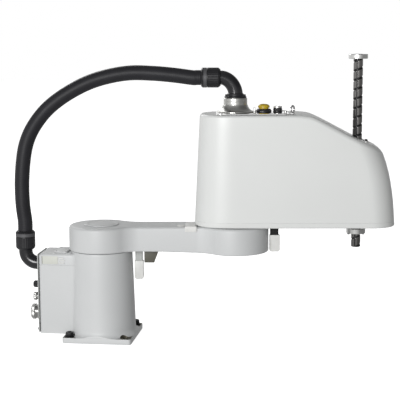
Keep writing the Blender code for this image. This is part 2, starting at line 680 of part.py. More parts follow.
def second_link_stop(head):
    """The hard stop that hangs from the second link, outside the first link's round end."""
    block = stop_block(0.0225, 0.012, 0.0365)
    piece("j2_stop_block", block, OFF_WHITE, head, (0.0735, 0, 0.1885))
    spacer = prism(rounded_box(0.0750, 0.0930, -0.0060, 0.0060, 0.002), 0.2253, HEAD_BOTTOM - GAP)
    piece("j2_stop_spacer", spacer, RUBBER, head)


def second_drive(head):
    """Motor and strain-wave gear of the second axis."""
    gear = turned([(0, 0.2512), (0.0446, 0.2512), (0.0446, 0.2680), (0.0400, 0.2700), (0.0400, 0.2900),
                   (0, 0.2900)], 32)
    piece("j2_gear_unit", gear, STEEL, head)
    motor = prism(rounded_box(-0.026, 0.026, -0.026, 0.026, 0.005), 0.2903, 0.3750)
    piece("j2_motor", motor, BLACK_STEEL, head)


# ---------------------------------------------------------------- quill and its drives
def belt(name, head, radius_1, radius_2, length, bottom):
    """A toothless flat ring of belt, held a little off both pulleys."""
    clear = 0.0005
    outside = [(-x, y) for x, y in belt_run(radius_1 + clear + BELT_THICK, radius_2 + clear + BELT_THICK,
                                            length)]
    inside = [(-x, y) for x, y in belt_run(radius_1 + clear, radius_2 + clear, length)]
    shape = bmesh.new()
    rows = []
    for outline, height in ((outside, bottom), (outside, bottom + 0.010), (inside, bottom + 0.010),
                            (inside, bottom)):
        rows.append([shape.verts.new((x, y, height)) for x, y in outline])
    for i, row in enumerate(rows):
        following = rows[(i + 1) % len(rows)]
        for k in range(len(row)):
            m = (k + 1) % len(row)
            shape.faces.new((row[k], row[m], following[m], following[k]))
    piece(name, shape, BELT, head, (LINK_2, 0, 0))


def belt_run(radius_1, radius_2, length):
    """Round the first pulley at the origin and the second at +X, anticlockwise."""
    lean = math.degrees(math.acos((radius_1 - radius_2) / length))
    points = arc((0, 0), radius_1, lean, 360 - lean, 18)
    return points + arc((length, 0), radius_2, -lean, lean, 8)


def quill_drives(head):
    """Two motors with small pulleys, two belts, and the bearing block round the spline nut."""
    r_motor = prism(rounded_box(-0.021, 0.021, -0.021, 0.021, 0.004), HEAD_FLOOR + GAP, 0.3300)
    piece("r_motor", r_motor, BLACK_STEEL, head, (R_MOTOR_AT, 0, 0))
    z_motor = prism(rounded_box(-0.029, 0.029, -0.029, 0.029, 0.005), HEAD_FLOOR + GAP, 0.3720)
    piece("z_motor", z_motor, BLACK_STEEL, head, (Z_MOTOR_AT, 0, 0))
    block = washer(0.0340, 0.0260, HEAD_FLOOR + GAP, 0.3320, 24)
    piece("spline_bearing_block", block, ALUMINIUM, head, (LINK_2, 0, 0))
    belt("r_belt", head, BIG_PULLEY, SMALL_PULLEY, LINK_2 - R_MOTOR_AT, 0.3370)
    belt("z_belt", head, BIG_PULLEY, SMALL_PULLEY, LINK_2 - Z_MOTOR_AT, 0.3780)
    for name, at, low in (("r_motor_pulley", R_MOTOR_AT, 0.3350), ("z_motor_pulley", Z_MOTOR_AT, 0.3760)):
        pulley = turned([(0, -0.0030), (0.0040, -0.0030), (0.0040, 0), (SMALL_PULLEY, 0),
                         (SMALL_PULLEY, PULLEY_HEIGHT), (0, PULLEY_HEIGHT)], 24)
        piece(name, pulley, ALUMINIUM, head, (at, 0, low))


def nuts(quill):
    """The spline nut that turns the quill and the ball nut that lifts it, each with its pulley."""
    bore = QUILL_RADIUS + 0.0005
    pulley = 0.3350
    spline_nut = turned([(bore, HEAD_FLOOR + 0.0015), (0.0252, HEAD_FLOOR + 0.0015), (0.0252, pulley),
                         (BIG_PULLEY, pulley), (BIG_PULLEY, pulley + PULLEY_HEIGHT),
                         (bore, pulley + PULLEY_HEIGHT)], 24, closed=True)
    piece("spline_nut", spline_nut, STEEL, quill)
    low = BALL_SCREW_Z
    pulley = 0.3760
    ball_nut = turned([(bore, low), (0.0210, low), (0.0210, pulley), (BIG_PULLEY, pulley),
                       (BIG_PULLEY, pulley + PULLEY_HEIGHT), (0.0180, pulley + PULLEY_HEIGHT),
                       (0.0180, pulley + 0.020), (bore, pulley + 0.020)], 24, closed=True)
    piece("ball_nut", ball_nut, STEEL, quill)


def quill_parts(quill):
    """The ball-screw spline shaft and the stop collars clamped on both its ends."""
    chamfer = 0.0012
    shaft = turned([(0, QUILL_BOTTOM), (QUILL_RADIUS - chamfer, QUILL_BOTTOM),
                    (QUILL_RADIUS, QUILL_BOTTOM + chamfer), (QUILL_RADIUS, QUILL_TOP - chamfer),
                    (QUILL_RADIUS - chamfer, QUILL_TOP), (0, QUILL_TOP)], 20)
    piece("quill_shaft", shaft, STEEL, quill)
    bore = QUILL_RADIUS + GAP
    piece("quill_top_collar", washer(COLLAR_RADIUS, bore, 0.6030, 0.6125, 28), STEEL, quill)
    piece("quill_lower_collar", washer(COLLAR_RADIUS, bore, 0.2290, 0.2400, 28), STEEL, quill)
    screw = turned([(0, 0), (0.0028, 0), (0.0028, 0.0030), (0, 0.0030)], 12)
    for name, side in (("collar_screw_left", -1), ("collar_screw_right", 1)):
        piece(name, screw.copy(), BLACK_STEEL, quill, (side * 0.0155, 0, 0.2290 - 0.0030 - GAP))
    screw.free()


# ---------------------------------------------------------------- assembly
def build():
    clear_scene()
    base = frame("base_frame")
    arm = frame("lower_arm_frame", base, turn=REST_YAW)
    head = frame("upper_arm_frame", arm, (LINK_1, 0, 0))
    swivel = frame("hose_swivel_frame", head)
    quill = frame("quill_frame", head, (LINK_2, 0, 0))

    base_casting(base)
    base_bolts(base)
    box_covers(base)
    rear_connectors(base)
    lower_hose_end(base)
    first_drive(base)
    cable_hose(base)

    first_link(arm)
    first_link_stops(arm)

    second_link_floor(head)
    second_link_cover(head)
    top_panel(head)
    release_button(head)
    second_link_stop(head)
    second_drive(head)
    upper_hose_end(swivel)

    quill_drives(head)
    nuts(quill)
    quill_parts(quill)


build()
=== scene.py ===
"""Looks of the SCARA robot arm: finer shells, castings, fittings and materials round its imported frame.

Every piece is made in one of four local frames that follow from the joints: the foot, the first link,
the second link and the quill. Lengths are metres.
"""
import json
import math

import bmesh
import bpy
from mathutils import Matrix, Vector


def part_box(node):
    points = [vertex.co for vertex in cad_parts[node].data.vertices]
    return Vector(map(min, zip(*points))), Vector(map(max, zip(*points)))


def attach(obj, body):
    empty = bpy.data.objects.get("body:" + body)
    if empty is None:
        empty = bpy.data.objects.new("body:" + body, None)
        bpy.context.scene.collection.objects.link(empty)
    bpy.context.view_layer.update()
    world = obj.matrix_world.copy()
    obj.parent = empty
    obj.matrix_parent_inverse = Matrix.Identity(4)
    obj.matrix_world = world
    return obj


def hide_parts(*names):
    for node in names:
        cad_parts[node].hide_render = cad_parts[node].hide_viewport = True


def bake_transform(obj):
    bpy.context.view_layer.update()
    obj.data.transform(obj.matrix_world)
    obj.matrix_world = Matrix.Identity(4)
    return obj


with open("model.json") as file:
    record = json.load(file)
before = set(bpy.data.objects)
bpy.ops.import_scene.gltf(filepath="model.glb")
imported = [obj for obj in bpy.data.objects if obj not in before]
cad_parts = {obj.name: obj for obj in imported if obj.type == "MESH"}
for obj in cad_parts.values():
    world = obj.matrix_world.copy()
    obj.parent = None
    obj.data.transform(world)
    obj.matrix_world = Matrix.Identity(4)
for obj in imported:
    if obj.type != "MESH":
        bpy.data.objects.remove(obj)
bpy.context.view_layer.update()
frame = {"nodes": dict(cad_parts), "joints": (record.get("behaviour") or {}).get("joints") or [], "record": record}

# ---- the frame's own places
JOINTS = {joint["name"]: joint for joint in frame["joints"]}


def axis_place(name):
    x, y, _ = JOINTS[name]["pos_m"]
    return Vector((x, y, 0))


def spin(angle, axis):
    return Matrix.Rotation(math.radians(angle), 4, axis)


def shift(base, x, y, z):
    return base @ Matrix.Translation((x, y, z))


AXIS_2 = axis_place("j2_turn")
AXIS_3 = axis_place("j4_turn")
LINK_1 = AXIS_2.length
LINK_2 = (AXIS_3 - AXIS_2).length
FOOT = Matrix.Identity(4)
ARM = Matrix.Rotation(math.atan2(AXIS_2.y, AXIS_2.x), 4, "Z")
HEAD = Matrix.Translation(AXIS_2) @ ARM
QUILL = Matrix.Translation(AXIS_3) @ ARM


def low(node):
    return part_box(node)[0].z


def high(node):
    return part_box(node)[1].z


def span(node):
    return low(node), high(node)


def tall(node):
    return high(node) - low(node)


def centre(node):
    lowest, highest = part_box(node)
    return (lowest + highest) / 2


def point(x, y, z):
    return Vector((x, y, z))


# ---- camera
CAMERA_PLACE = (0.2677, -2.563, 0.6771)            # in the first link's frame
CAMERA_LENS = 108
CAMERA_PITCH = 8.35
CAMERA_PAN = -1.21
CAMERA_ROLL = -0.23


def put(name, data):
    """An object for some data, in the scene's collection."""
    made = bpy.data.objects.new(name, data)
    bpy.context.collection.objects.link(made)
    return made


def make_camera():
    """A view square to the links, a little above them, through a long lens."""
    camera = bpy.data.cameras.new("camera")
    camera.sensor_width = 36
    camera.lens = CAMERA_LENS
    camera.clip_end = 30
    made = put("camera", camera)
    aim = spin(-CAMERA_PAN, "Z") @ spin(90 - CAMERA_PITCH, "X") @ spin(CAMERA_ROLL, "Z")
    made.matrix_world = shift(ARM, *CAMERA_PLACE) @ aim
    bpy.context.scene.camera = made


make_camera()


# ---- outlines
def shares(count):
    """Even steps from 0 to 1, both included."""
    return [i / count for i in range(count + 1)]


def quarter(count):
    """Angles of a quarter turn in even steps, in radians."""
    return [math.pi / 2 * share for share in shares(count)]


def circle(radius, count):
    turns = [math.tau * i / count for i in range(count)]
    return [(radius * math.cos(a), radius * math.sin(a)) for a in turns]


def arc(middle, radius, first, last, count):
    """Points along an arc, angles in degrees, both ends included."""
    angles = [math.radians(first + (last - first) * share) for share in shares(count)]
    return [(middle[0] + radius * math.cos(a), middle[1] + radius * math.sin(a)) for a in angles]


def rounded_box(x0, x1, y0, y1, radius, count=8):
    left, right, front, back = x0 + radius, x1 - radius, y0 + radius, y1 - radius
    points = []
    for k, corner in enumerate(((right, back), (left, back), (left, front), (right, front))):
        points += arc(corner, radius, 90 * k, 90 * k + 90, count)
    return points


def ring_at(points, height):
    return [(x, y, height) for x, y in points]


def soften(profile, radius, steps=3):
    """A turned profile with each of its inner corners rounded."""
    points = [Vector(place) for place in profile]
    made = [points[0]]
    for before, corner, after in zip(points, points[1:], points[2:]):
        back = before - corner
        ahead = after - corner
        if min(back.length, ahead.length) > 1e-7:
            reach = min(radius, 0.45 * back.length, 0.45 * ahead.length)
            start = corner + reach * back.normalized()
            end = corner + reach * ahead.normalized()
            made += [(1 - t) ** 2 * start + 2 * t * (1 - t) * corner + t * t * end for t in shares(steps)]
    return [tuple(place) for place in [*made, points[-1]]]


def ribs(outer, inner, start, step, count):
    """A profile's stretch that goes in and out, from its outer radius."""
    return [(inner if i % 2 else outer, start + step * i) for i in range(count)]


def lower_rim(bottom, edge, steps):
    """(inset, height) steps up a plate's rounded lower edge."""
    return [(edge * (1 - math.sin(a)), bottom + edge * (1 - math.cos(a))) for a in quarter(steps)]


def upper_rim(top, edge, steps):
    """(inset, height) steps up a plate's rounded upper edge."""
    return [(edge * (1 - math.cos(a)), top - edge * (1 - math.sin(a))) for a in quarter(steps)]


def curve_through(points, steps):
    """A smooth (Catmull-Rom) line through the points, with steps pieces between each two."""
    ends = [2 * points[0] - points[1], *points, 2 * points[-1] - points[-2]]
    line = []
    for a, b, c, d in zip(ends, ends[1:], ends[2:], ends[3:]):
        for t in shares(steps)[:-1]:
            bend = (2 * a - 5 * b + 4 * c - d) * t * t + (3 * b - a - 3 * c + d) * t ** 3
            line.append(0.5 * (2 * b + (c - a) * t + bend))
    return line + [points[-1]]


def even_steps(line, step):
    """The same line as evenly spaced points about a step apart."""
    lengths = [0.0]
    for a, b in zip(line, line[1:]):
        lengths.append(lengths[-1] + (b - a).length)
    made = []
    k = 0
    for share in shares(round(lengths[-1] / step)):
        reached = lengths[-1] * share
        while k < len(line) - 2 and lengths[k + 1] < reached:
            k += 1
        made.append(line[k].lerp(line[k + 1], (reached - lengths[k]) / (lengths[k + 1] - lengths[k])))
    return made


def eased(knots, place):
    """The value at one place on a smooth line through (place, value) knots, flat beyond its ends."""
    if place <= knots[0][0]:
        return knots[0][1]
    if place >= knots[-1][0]:
        return knots[-1][1]
    last = len(knots) - 1
    i = next(i for i in range(last) if place <= knots[i + 1][0])

    def slope(k):
        before = knots[max(k - 1, 0)]
        after = knots[min(k + 1, last)]
        return (after[1] - before[1]) / (after[0] - before[0])

    span = knots[i + 1][0] - knots[i][0]
    t = (place - knots[i][0]) / span
    bend = t * (1 - t) * ((1 - t) * slope(i) - t * slope(i + 1)) * span
    return knots[i][1] + (knots[i + 1][1] - knots[i][1]) * t * t * (3 - 2 * t) + bend


# ---- shapes
def bridge(shape, lower, upper):
    """Faces between two rings of corners; either ring may be a single corner."""
    count = max(len(lower), len(upper))
    for i in range(count):
        j = (i + 1) % count
        ring = [lower[i % len(lower)], lower[j % len(lower)], upper[j % len(upper)], upper[i % len(upper)]]
        shape.faces.new(list(dict.fromkeys(ring)))


def skin(rows, shape, closed=False):
    """Adds rows of points, each a ring, joined by faces, and returns their corners."""
    made = [[shape.verts.new(place) for place in row] for row in rows]
    following = made[1:] + (made[:1] if closed else [])
    for lower, upper in zip(made, following):
        bridge(shape, lower, upper)
    return made


def lathe(profile, count=64, soft=0.0, shape=None):
    """A profile of (radius, height) points turned about Z: a ring, unless it starts on the axis."""
    shape = shape or bmesh.new()
    profile = soften(profile, soft) if soft else profile
    rows = [ring_at(circle(radius, count if radius > 0 else 1), height) for radius, height in profile]
    skin(rows, shape, closed=profile[0][0] > 0)
    return shape


def loft(rows, shape=None):
    """Skins rows of points and caps both ends."""
    shape = shape or bmesh.new()
    made = skin(rows, shape)
    shape.faces.new(made[0])
    shape.faces.new(made[-1])
    return shape


def prism(outline, bottom, top):
    return loft([ring_at(outline, bottom), ring_at(outline, top)])


def plate(outline, bottom, top, edge=0.0006, steps=3, top_edge=None, shape=None):
    """A flat plate with softened edges, its outline a function of how far it is pulled in."""
    rims = lower_rim(bottom, edge, steps) + upper_rim(top, top_edge or edge, steps)
    return loft([ring_at(outline(inset), height) for inset, height in rims], shape)


def slab(x0, x1, y0, y1, corner, bottom, top, edge=0.0006, steps=3, count=8, shape=None):
    """A plate with round corners."""
    def outline(inset):
        pulled = max(corner - inset, 0.0002)
        return rounded_box(x0 + inset, x1 - inset, y0 + inset, y1 - inset, pulled, count)
    return plate(outline, bottom, top, edge, steps, shape=shape)


def sweep(path, radii, count):
    """A round bar along a path, with a radius for each of its points."""
    rows = []
    side = None
    for i, (place, radius) in enumerate(zip(path, radii)):
        ahead = (path[min(i + 1, len(path) - 1)] - path[max(i - 1, 0)]).normalized()
        side = side or ahead.orthogonal().normalized()
        side = (side - ahead * side.dot(ahead)).normalized()
        up = ahead.cross(side)
        rows.append([place + radius * (x * side + y * up) for x, y in circle(1, count)])
    return loft(rows)


def cogged(radius, depth, teeth, bottom, top, shape):
    """Adds a knurled or lobed ring: an outline that goes in and out, pulled up with softened rims."""
    steps = 8
    rim = min(0.0006, (top - bottom) / 4)
    rows = []
    for height, shrink in ((bottom, rim), (bottom + rim, 0), (top - rim, 0), (top, rim)):
        row = []
        for i, (x, y) in enumerate(circle(1, teeth * steps)):
            reach = radius - shrink - depth * (0.5 - 0.5 * math.cos(math.tau * i / steps))
            row.append((reach * x, reach * y, height))
        rows.append(row)
    return loft(rows, shape)


def moved(shape, matrix):
    shape.transform(matrix)
    return shape


def along_x(shape):
    """Turns a piece made about Z so that its axis points along -X."""
    return moved(shape, spin(-90, "Y"))


def upright(shape):
    """Turns a shape so that its outline's Y is up, and its height points along -Y."""
    return moved(shape, spin(90, "X"))


def solid(name, shape):
    """An object from a bmesh, with its faces pointing out."""
    bmesh.ops.recalc_face_normals(shape, faces=shape.faces)
    mesh = bpy.data.meshes.new(name)
    shape.to_mesh(mesh)
    shape.free()
    return put(name, mesh)


def settle(made):
    """Applies a piece's modifiers."""
    bpy.context.view_layer.update()
    evaluated = made.evaluated_get(bpy.context.evaluated_depsgraph_get())
    mesh = bpy.data.meshes.new_from_object(evaluated)
    made.modifiers.clear()
    old = made.data
    made.data = mesh
    bpy.data.meshes.remove(old)


def discard(made):
    mesh = made.data
    bpy.data.objects.remove(made)
    bpy.data.meshes.remove(mesh)


def boolean(target, cutter, operation="DIFFERENCE"):
    """Cuts or joins one bmesh shape with another, and returns the result as a bmesh."""
    first = solid("work", target)
    second = solid("work", cutter)
    change = first.modifiers.new("work", "BOOLEAN")
    change.operation = operation
    change.solver = "EXACT"
    change.object = second
    settle(first)
    result = bmesh.new()
    result.from_mesh(first.data)
    discard(first)
    discard(second)
    bmesh.ops.remove_doubles(result, verts=result.verts, dist=1e-6)
    return result


def grid(xs, ys, z):
    return [(x, y, z) for x in xs for y in ys]


def array(shape, places):
    """Copies of one shape at several places, in one bmesh."""
    mesh = bpy.data.meshes.new("work")
    shape.to_mesh(mesh)
    shape.free()
    made = bmesh.new()
    for place in places:
        copy = mesh.copy()
        copy.transform(Matrix.Translation(place))
        made.from_mesh(copy)
        bpy.data.meshes.remove(copy)
    bpy.data.meshes.remove(mesh)
    return made


def add(name, shape, place, body, finish, *nodes, slot=None, bevel=0.0, sharp=35):
    """A piece from a bmesh, riding on its body, with its material, for the CAD nodes it replaces; the slot
    argument is not used.
    """
    if place in (ARM, HEAD):            # these go into the mesh, so that the piece's box stays exact
        shape.transform(place)
        place = FOOT
    made = solid(name, shape)
    made.matrix_world = place
    made.data.materials.append(MATERIALS[finish])
    if bevel:
        soft = made.modifiers.new("edges", "BEVEL")
        soft.width = bevel
        soft.segments = 3
        soft.limit_method = "ANGLE"
        soft.angle_limit = math.radians(sharp)
        settle(made)
    made.data.shade_smooth()
    made.data.set_sharp_from_angle(angle=math.radians(sharp))
    if body:
        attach(made, body)
    if nodes:
        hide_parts(*nodes)
    return made


def repaint(made, finish, chosen):
    """Gives a second material to the faces whose middles are chosen."""
    made.data.materials.append(MATERIALS[finish])
    for face in made.data.polygons:
        if chosen(*face.center):
            face.material_index = 1


# ---- materials
def fill(node, **values):
    """Sets a node's inputs by name, with _ for each space."""
    for key, value in values.items():
        node.inputs[key.replace("_", " ")].default_value = value


def add_node(tree, kind, source, target, **values):
    """A shader node whose target input is fed by the source."""
    node = tree.nodes.new(f"ShaderNode{kind}")
    fill(node, **values)
    tree.links.new(source, node.inputs[target])
    return node


def set_stops(band, stops):
    """Puts (place, grey or colour) stops on a colour ramp."""
    for i, (place, value) in enumerate(stops):
        stop = band.elements[i] if i < 2 else band.elements.new(place)
        stop.position = place
        stop.color = (*value, 1) if isinstance(value, tuple) else (value, value, value, 1)


class Nodes:
    """A small builder for one material's node tree."""

    def __init__(self, name, colour, roughness, metallic=0.0, **settings):
        self.material = bpy.data.materials.new(name)
        self.material.use_nodes = True
        self.tree = self.material.node_tree
        self.shader = self.tree.nodes["Principled BSDF"]
        fill(self.shader, Base_Color=(*colour, 1), Roughness=roughness, Metallic=metallic, **settings)
        self.place = self.tree.nodes.new("ShaderNodeTexCoord").outputs["Object"]

    def new(self, kind, source, target, **values):
        return add_node(self.tree, kind, source, target, **values)

    def feed(self, source, name):
        self.tree.links.new(source, self.shader.inputs[name])

    def stretched(self, scale):
        """Object coordinates with their own scale along each axis."""
        return self.new("Mapping", self.place, "Vector", Scale=scale).outputs["Vector"]

    def noise(self, scale, detail, rough, place=None):
        place = place or self.place
        node = self.new("TexNoise", place, "Vector", Scale=scale, Detail=detail, Roughness=rough)
        return node.outputs["Fac"]

    def colour(self, source, *stops):
        """Colours the shader by a grey value, through (place, grey or colour) stops."""
        node = self.new("ValToRGB", source, "Fac")
        set_stops(node.color_ramp, stops)
        self.feed(node.outputs["Color"], "Base Color")

    def roughness(self, source, least, most):
        node = self.new("MapRange", source, "Value", To_Min=least, To_Max=most)
        self.feed(node.outputs["Result"], "Roughness")

    def bump(self, *layers):
        """Bumps from (source, height in metres) layers, laid one on the other."""
        normal = None
        for source, height in layers:
            node = self.new("Bump", source, "Height", Strength=1.0, Distance=height)
            if normal:
                self.tree.links.new(normal, node.inputs["Normal"])
            normal = node.outputs["Normal"]
        self.feed(normal, "Normal")


def shade(colour, factor):
    return tuple(min(1.0, channel * factor) for channel in colour)


def painted(name, colour, roughness, peel, cloud):
    """Powder coat: fine orange peel, a broad faint drift of tone, and slightly uneven gloss."""
    nodes = Nodes(name, colour, roughness, Coat_Weight=0.12, Coat_Roughness=0.35)
    drift = nodes.noise(5.0, 3.0, 0.55)
    nodes.colour(drift, (0.3, shade(colour, 1 - cloud)), (0.7, shade(colour, 1 + cloud)))
    nodes.roughness(nodes.noise(35.0, 4.0, 0.6), roughness - 0.05, roughness + 0.07)
    nodes.bump((nodes.noise(900.0, 1.5, 0.5), peel), (nodes.noise(260.0, 1.0, 0.4), peel))
    return nodes.material


def moulded(name, colour, roughness, grain=0.00003, gloss=0.5):
    """Moulded plastic: a very fine spark-eroded grain and a little wear in the gloss."""
    nodes = Nodes(name, colour, roughness, Specular_IOR_Level=gloss)
    nodes.colour(nodes.noise(30.0, 3.0, 0.6), (0.3, shade(colour, 0.88)), (0.75, shade(colour, 1.14)))
    nodes.roughness(nodes.noise(120.0, 4.0, 0.65), roughness - 0.07, roughness + 0.1)
    nodes.bump((nodes.noise(1800.0, 2.0, 0.6), grain))
    return nodes.material


def machined(name, colour, roughness, lines=(30.0, 30.0, 2600.0), depth=0.000012):
    """Turned or ground metal: fine tool lines, closest along the axis of the largest scale."""
    nodes = Nodes(name, colour, roughness, 1.0, Anisotropic=0.35)
    marks = nodes.noise(1.0, 2.0, 0.6, nodes.stretched(lines))
    nodes.colour(marks, (0.25, shade(colour, 0.82)), (0.75, shade(colour, 1.12)))
    nodes.roughness(nodes.noise(60.0, 4.0, 0.6), roughness - 0.08, roughness + 0.14)
    nodes.bump((marks, depth))
    return nodes.material


def blackened(name, colour, roughness):
    """Black-oxide steel: dark, slightly mottled, brighter where it has been rubbed."""
    nodes = Nodes(name, colour, roughness, 0.7)
    mottle = nodes.noise(220.0, 5.0, 0.65)
    nodes.colour(mottle, (0.35, shade(colour, 0.7)), (0.62, colour), (0.8, shade(colour, 2.6)))
    nodes.roughness(mottle, roughness - 0.06, roughness + 0.16)
    nodes.bump((nodes.noise(1500.0, 2.0, 0.5), 0.00001))
    return nodes.material


MATERIALS = {
    "painted_casting": painted("cast_paint", (0.55, 0.56, 0.562), 0.44, 0.00007, 0.03),
    "painted_cover": painted("cover_paint", (0.66, 0.671, 0.66), 0.36, 0.00003, 0.015),
    "painted_grey": painted("grey_paint", (0.44, 0.45, 0.44), 0.5, 0.00006, 0.04),
    "off_white_plastic": moulded("off_white_nylon", (0.67, 0.67, 0.65), 0.3),
    "label": painted("label_film", (0.56, 0.57, 0.52), 0.5, 0.00001, 0.03),
    "black_plastic": moulded("black_nylon", (0.015, 0.015, 0.017), 0.34, gloss=0.32),
    "hose": moulded("hose_skin", (0.018, 0.018, 0.021), 0.45, 0.00005, 0.22),
    "rubber": moulded("black_rubber", (0.012, 0.012, 0.012), 0.6, 0.00006, 0.3),
    "belt": moulded("belt_rubber", (0.028, 0.028, 0.028), 0.7, 0.00008),
    "aluminium": machined("turned_aluminium", (0.56, 0.56, 0.54), 0.27),
    "steel": machined("ground_steel", (0.5, 0.5, 0.49), 0.24),
    "black_steel": blackened("black_oxide", (0.022, 0.022, 0.023), 0.34),
    "motor": blackened("anodised_black", (0.03, 0.03, 0.032), 0.45),
    "yellow": moulded("yellow_plastic", (0.44, 0.31, 0.014), 0.3),
    # olive: a dark green-grey taken from the bracket under the first link; its darkness and tint are painted shade
    "olive": painted("olive_painted_shade", (0.085, 0.081, 0.062), 0.5, 0.00005, 0.08),
    "steel_x": machined("ground_steel_x", (0.5, 0.5, 0.49), 0.26, (2600.0, 30.0, 30.0)),
    "quill_steel": machined("hardened_steel", (0.21, 0.205, 0.2), 0.12, (400.0, 400.0, 30.0), 0.000005),
    "collar_steel": machined("collar_steel", (0.64, 0.64, 0.63), 0.22),
    "chrome": machined("bright_chrome", (0.75, 0.75, 0.75), 0.14),
    "band_plastic": moulded("band_nylon", (0.075, 0.075, 0.08), 0.45),
    "elbow_plastic": moulded("elbow_nylon", (0.014, 0.014, 0.016), 0.18, 0.00001, 0.5),
    "panel": machined("brushed_panel", (0.97, 0.97, 0.97), 0.04, (6.0, 1500.0, 6.0), 0.000004),
    # the bolt pockets' dark brown-olive: bare metal darkened with painted shade, as the pockets sit in shade
    "pocket_metal_painted_shade": machined("pocket_metal_painted_shade", (0.17, 0.16, 0.13), 0.42),
    "brass": machined("contact_brass", (0.75, 0.55, 0.25), 0.3),
}


def dress_cad_nodes():
    """Gives every CAD node the material of its slot; most are hidden under finer pieces or inside."""
    slots = {entry["node"]: entry["material_slot"] for entry in frame["record"]["subparts"]}
    for name, node in frame["nodes"].items():
        node.data.materials.clear()
        node.data.materials.append(MATERIALS[slots[name]])


dress_cad_nodes()


# ---- cable hose
HOSE_RADIUS = 0.016
HOSE_RIB = 0.004                      # from one fine rib of the hose to the next
HOSE_RIB_DEPTH = 0.00015
HOSE_FOOT = point(-0.1705, 0, 0.2315)
HOSE_RISE = point(-0.1705, 0, 0.252)
HOSE_LOOP = [(-0.1735, 0.018, 0.29), (-0.174, 0.018, 0.34), (-0.169, 0.018, 0.393),
             (-0.16, 0.018, 0.43), (-0.143, 0.017, 0.463), (-0.116, 0.016, 0.496),
             (-0.079, 0.015, 0.525), (-0.031, 0.013, 0.551), (0.015, 0.011, 0.566),
             (0.065, 0.009, 0.574), (0.115, 0.006, 0.573), (0.16, 0.003, 0.569)]
NUT_HEIGHT = 0.564                    # of the hose's upper end
HOSE_LAST = [(LINK_1 - back, 0.0, NUT_HEIGHT) for back in (0.092, 0.083, 0.0735)]


def make_hose():
    """The corrugated hose's fine tube, from the lower union nut to the upper one."""
    route = [HOSE_FOOT, HOSE_RISE, *(ARM @ Vector(place) for place in [*HOSE_LOOP, *HOSE_LAST])]
    line = even_steps(curve_through(route, 12), HOSE_RIB / 4)
    dips = [0.5 - 0.5 * math.cos(math.tau * i / 4) for i in range(len(line))]
    radii = [HOSE_RADIUS - HOSE_RIB_DEPTH * dip for dip in dips]
    return add("hose_tube", sweep(line, radii, 36), FOOT, None, "hose", "cable_hose"), line


# ---- screws
def hexagon(key, count):
    """Points round a hexagon of that half width, as many as in the circles it is joined to."""
    sector = math.pi / 3
    points = []
    for i, (x, y) in enumerate(circle(1, count)):
        off = (math.tau * i / count + sector / 2) % sector - sector / 2
        points.append((key / math.cos(off) * x, key / math.cos(off) * y))
    return points


def cap_screw(radius, height, key, count=48, knurl=0.0):
    """A socket-head screw's head standing on z = 0, with its hexagon socket."""
    chamfer = 0.1 * radius
    rim = circle(radius - chamfer, count)
    pulls = [1 - knurl / radius * (i % 4 > 1) for i in range(count)]
    wall = [(x * pull, y * pull) for (x, y), pull in zip(circle(radius, count), pulls)]
    socket = hexagon(key, count)
    levels = [(rim, 0), (wall, chamfer), (wall, height - 1.5 * chamfer), (rim, height)]
    levels += [(hexagon(key * 1.08, count), height), (socket, height - chamfer), (socket, 0.45 * height)]
    return loft([ring_at(points, level) for points, level in levels])


# ---- foot, column and box
PLATE_HALF = 0.075
PLATE_TOP = 0.012
COLUMN_TOP = 0.193
COLUMN_RIM = 0.0015
COLUMN_FOOT_RADIUS = 0.072
COLUMN_TOP_RADIUS = 0.066
FRONT_COUNT = 120                     # points round the column's front
FLARE = 0.012                         # fillet between the foot plate and the column
BOX_REAR = 0.132
BOX_HALF = 0.0405
BOX_TOP = 0.188
BOX_CORNER = 0.007
BOX_EDGE = 0.006                      # round-over along the box's top
WEB = 0.014                           # hollow fillet between the box and the column
GROOVE_HEIGHT = 0.1635                # a fine parting line round the box
GROOVE_DEPTH = 0.0007
BOLT_OFFSET = 0.061
SPOT_RADIUS = 0.0115
SPOT_FACE = PLATE_TOP - 0.0005
BOLT_HOLE = 0.0055


def column_radius(height):
    share = (height - PLATE_TOP) / (COLUMN_TOP - PLATE_TOP)
    radius = COLUMN_FOOT_RADIUS + (COLUMN_TOP_RADIUS - COLUMN_FOOT_RADIUS) * max(share, 0)
    climb = height - PLATE_TOP - FLARE
    if climb < 0:
        radius += FLARE - math.sqrt(max(FLARE ** 2 - climb ** 2, 0))
    return radius


def web_place(height, inset):
    """The web's middle along X, and the angle at which it meets the column, in degrees."""
    reach = column_radius(max(height, PLATE_TOP)) + WEB
    side = BOX_HALF - inset + WEB
    x = -math.sqrt(reach ** 2 - side ** 2)
    return x, math.degrees(math.atan2(side, x))


def column_section(height, inset):
    """The column's outline joined to the box's: round front, hollow webs, box with round corners."""
    half = BOX_HALF - inset
    round_corner = BOX_CORNER - min(inset, 0.9 * BOX_CORNER)
    rear = round_corner - BOX_REAR + inset
    web_x, touch = web_place(height, inset)
    bound = PLATE_HALF - 0.0004
    front = arc((0, 0), column_radius(max(height, PLATE_TOP)), -touch, touch, FRONT_COUNT)
    points = [(min(x, bound), max(-bound, min(bound, y))) for x, y in front]
    points += arc((web_x, half + WEB), WEB, touch - 180, -90, 10)[1:]
    points += arc((rear, half - round_corner), round_corner, 90, 180, 8)
    points += arc((rear, round_corner - half), round_corner, 180, 270, 8)
    return points + arc((web_x, -half - WEB), WEB, 90, 180 - touch, 10)[:-1]


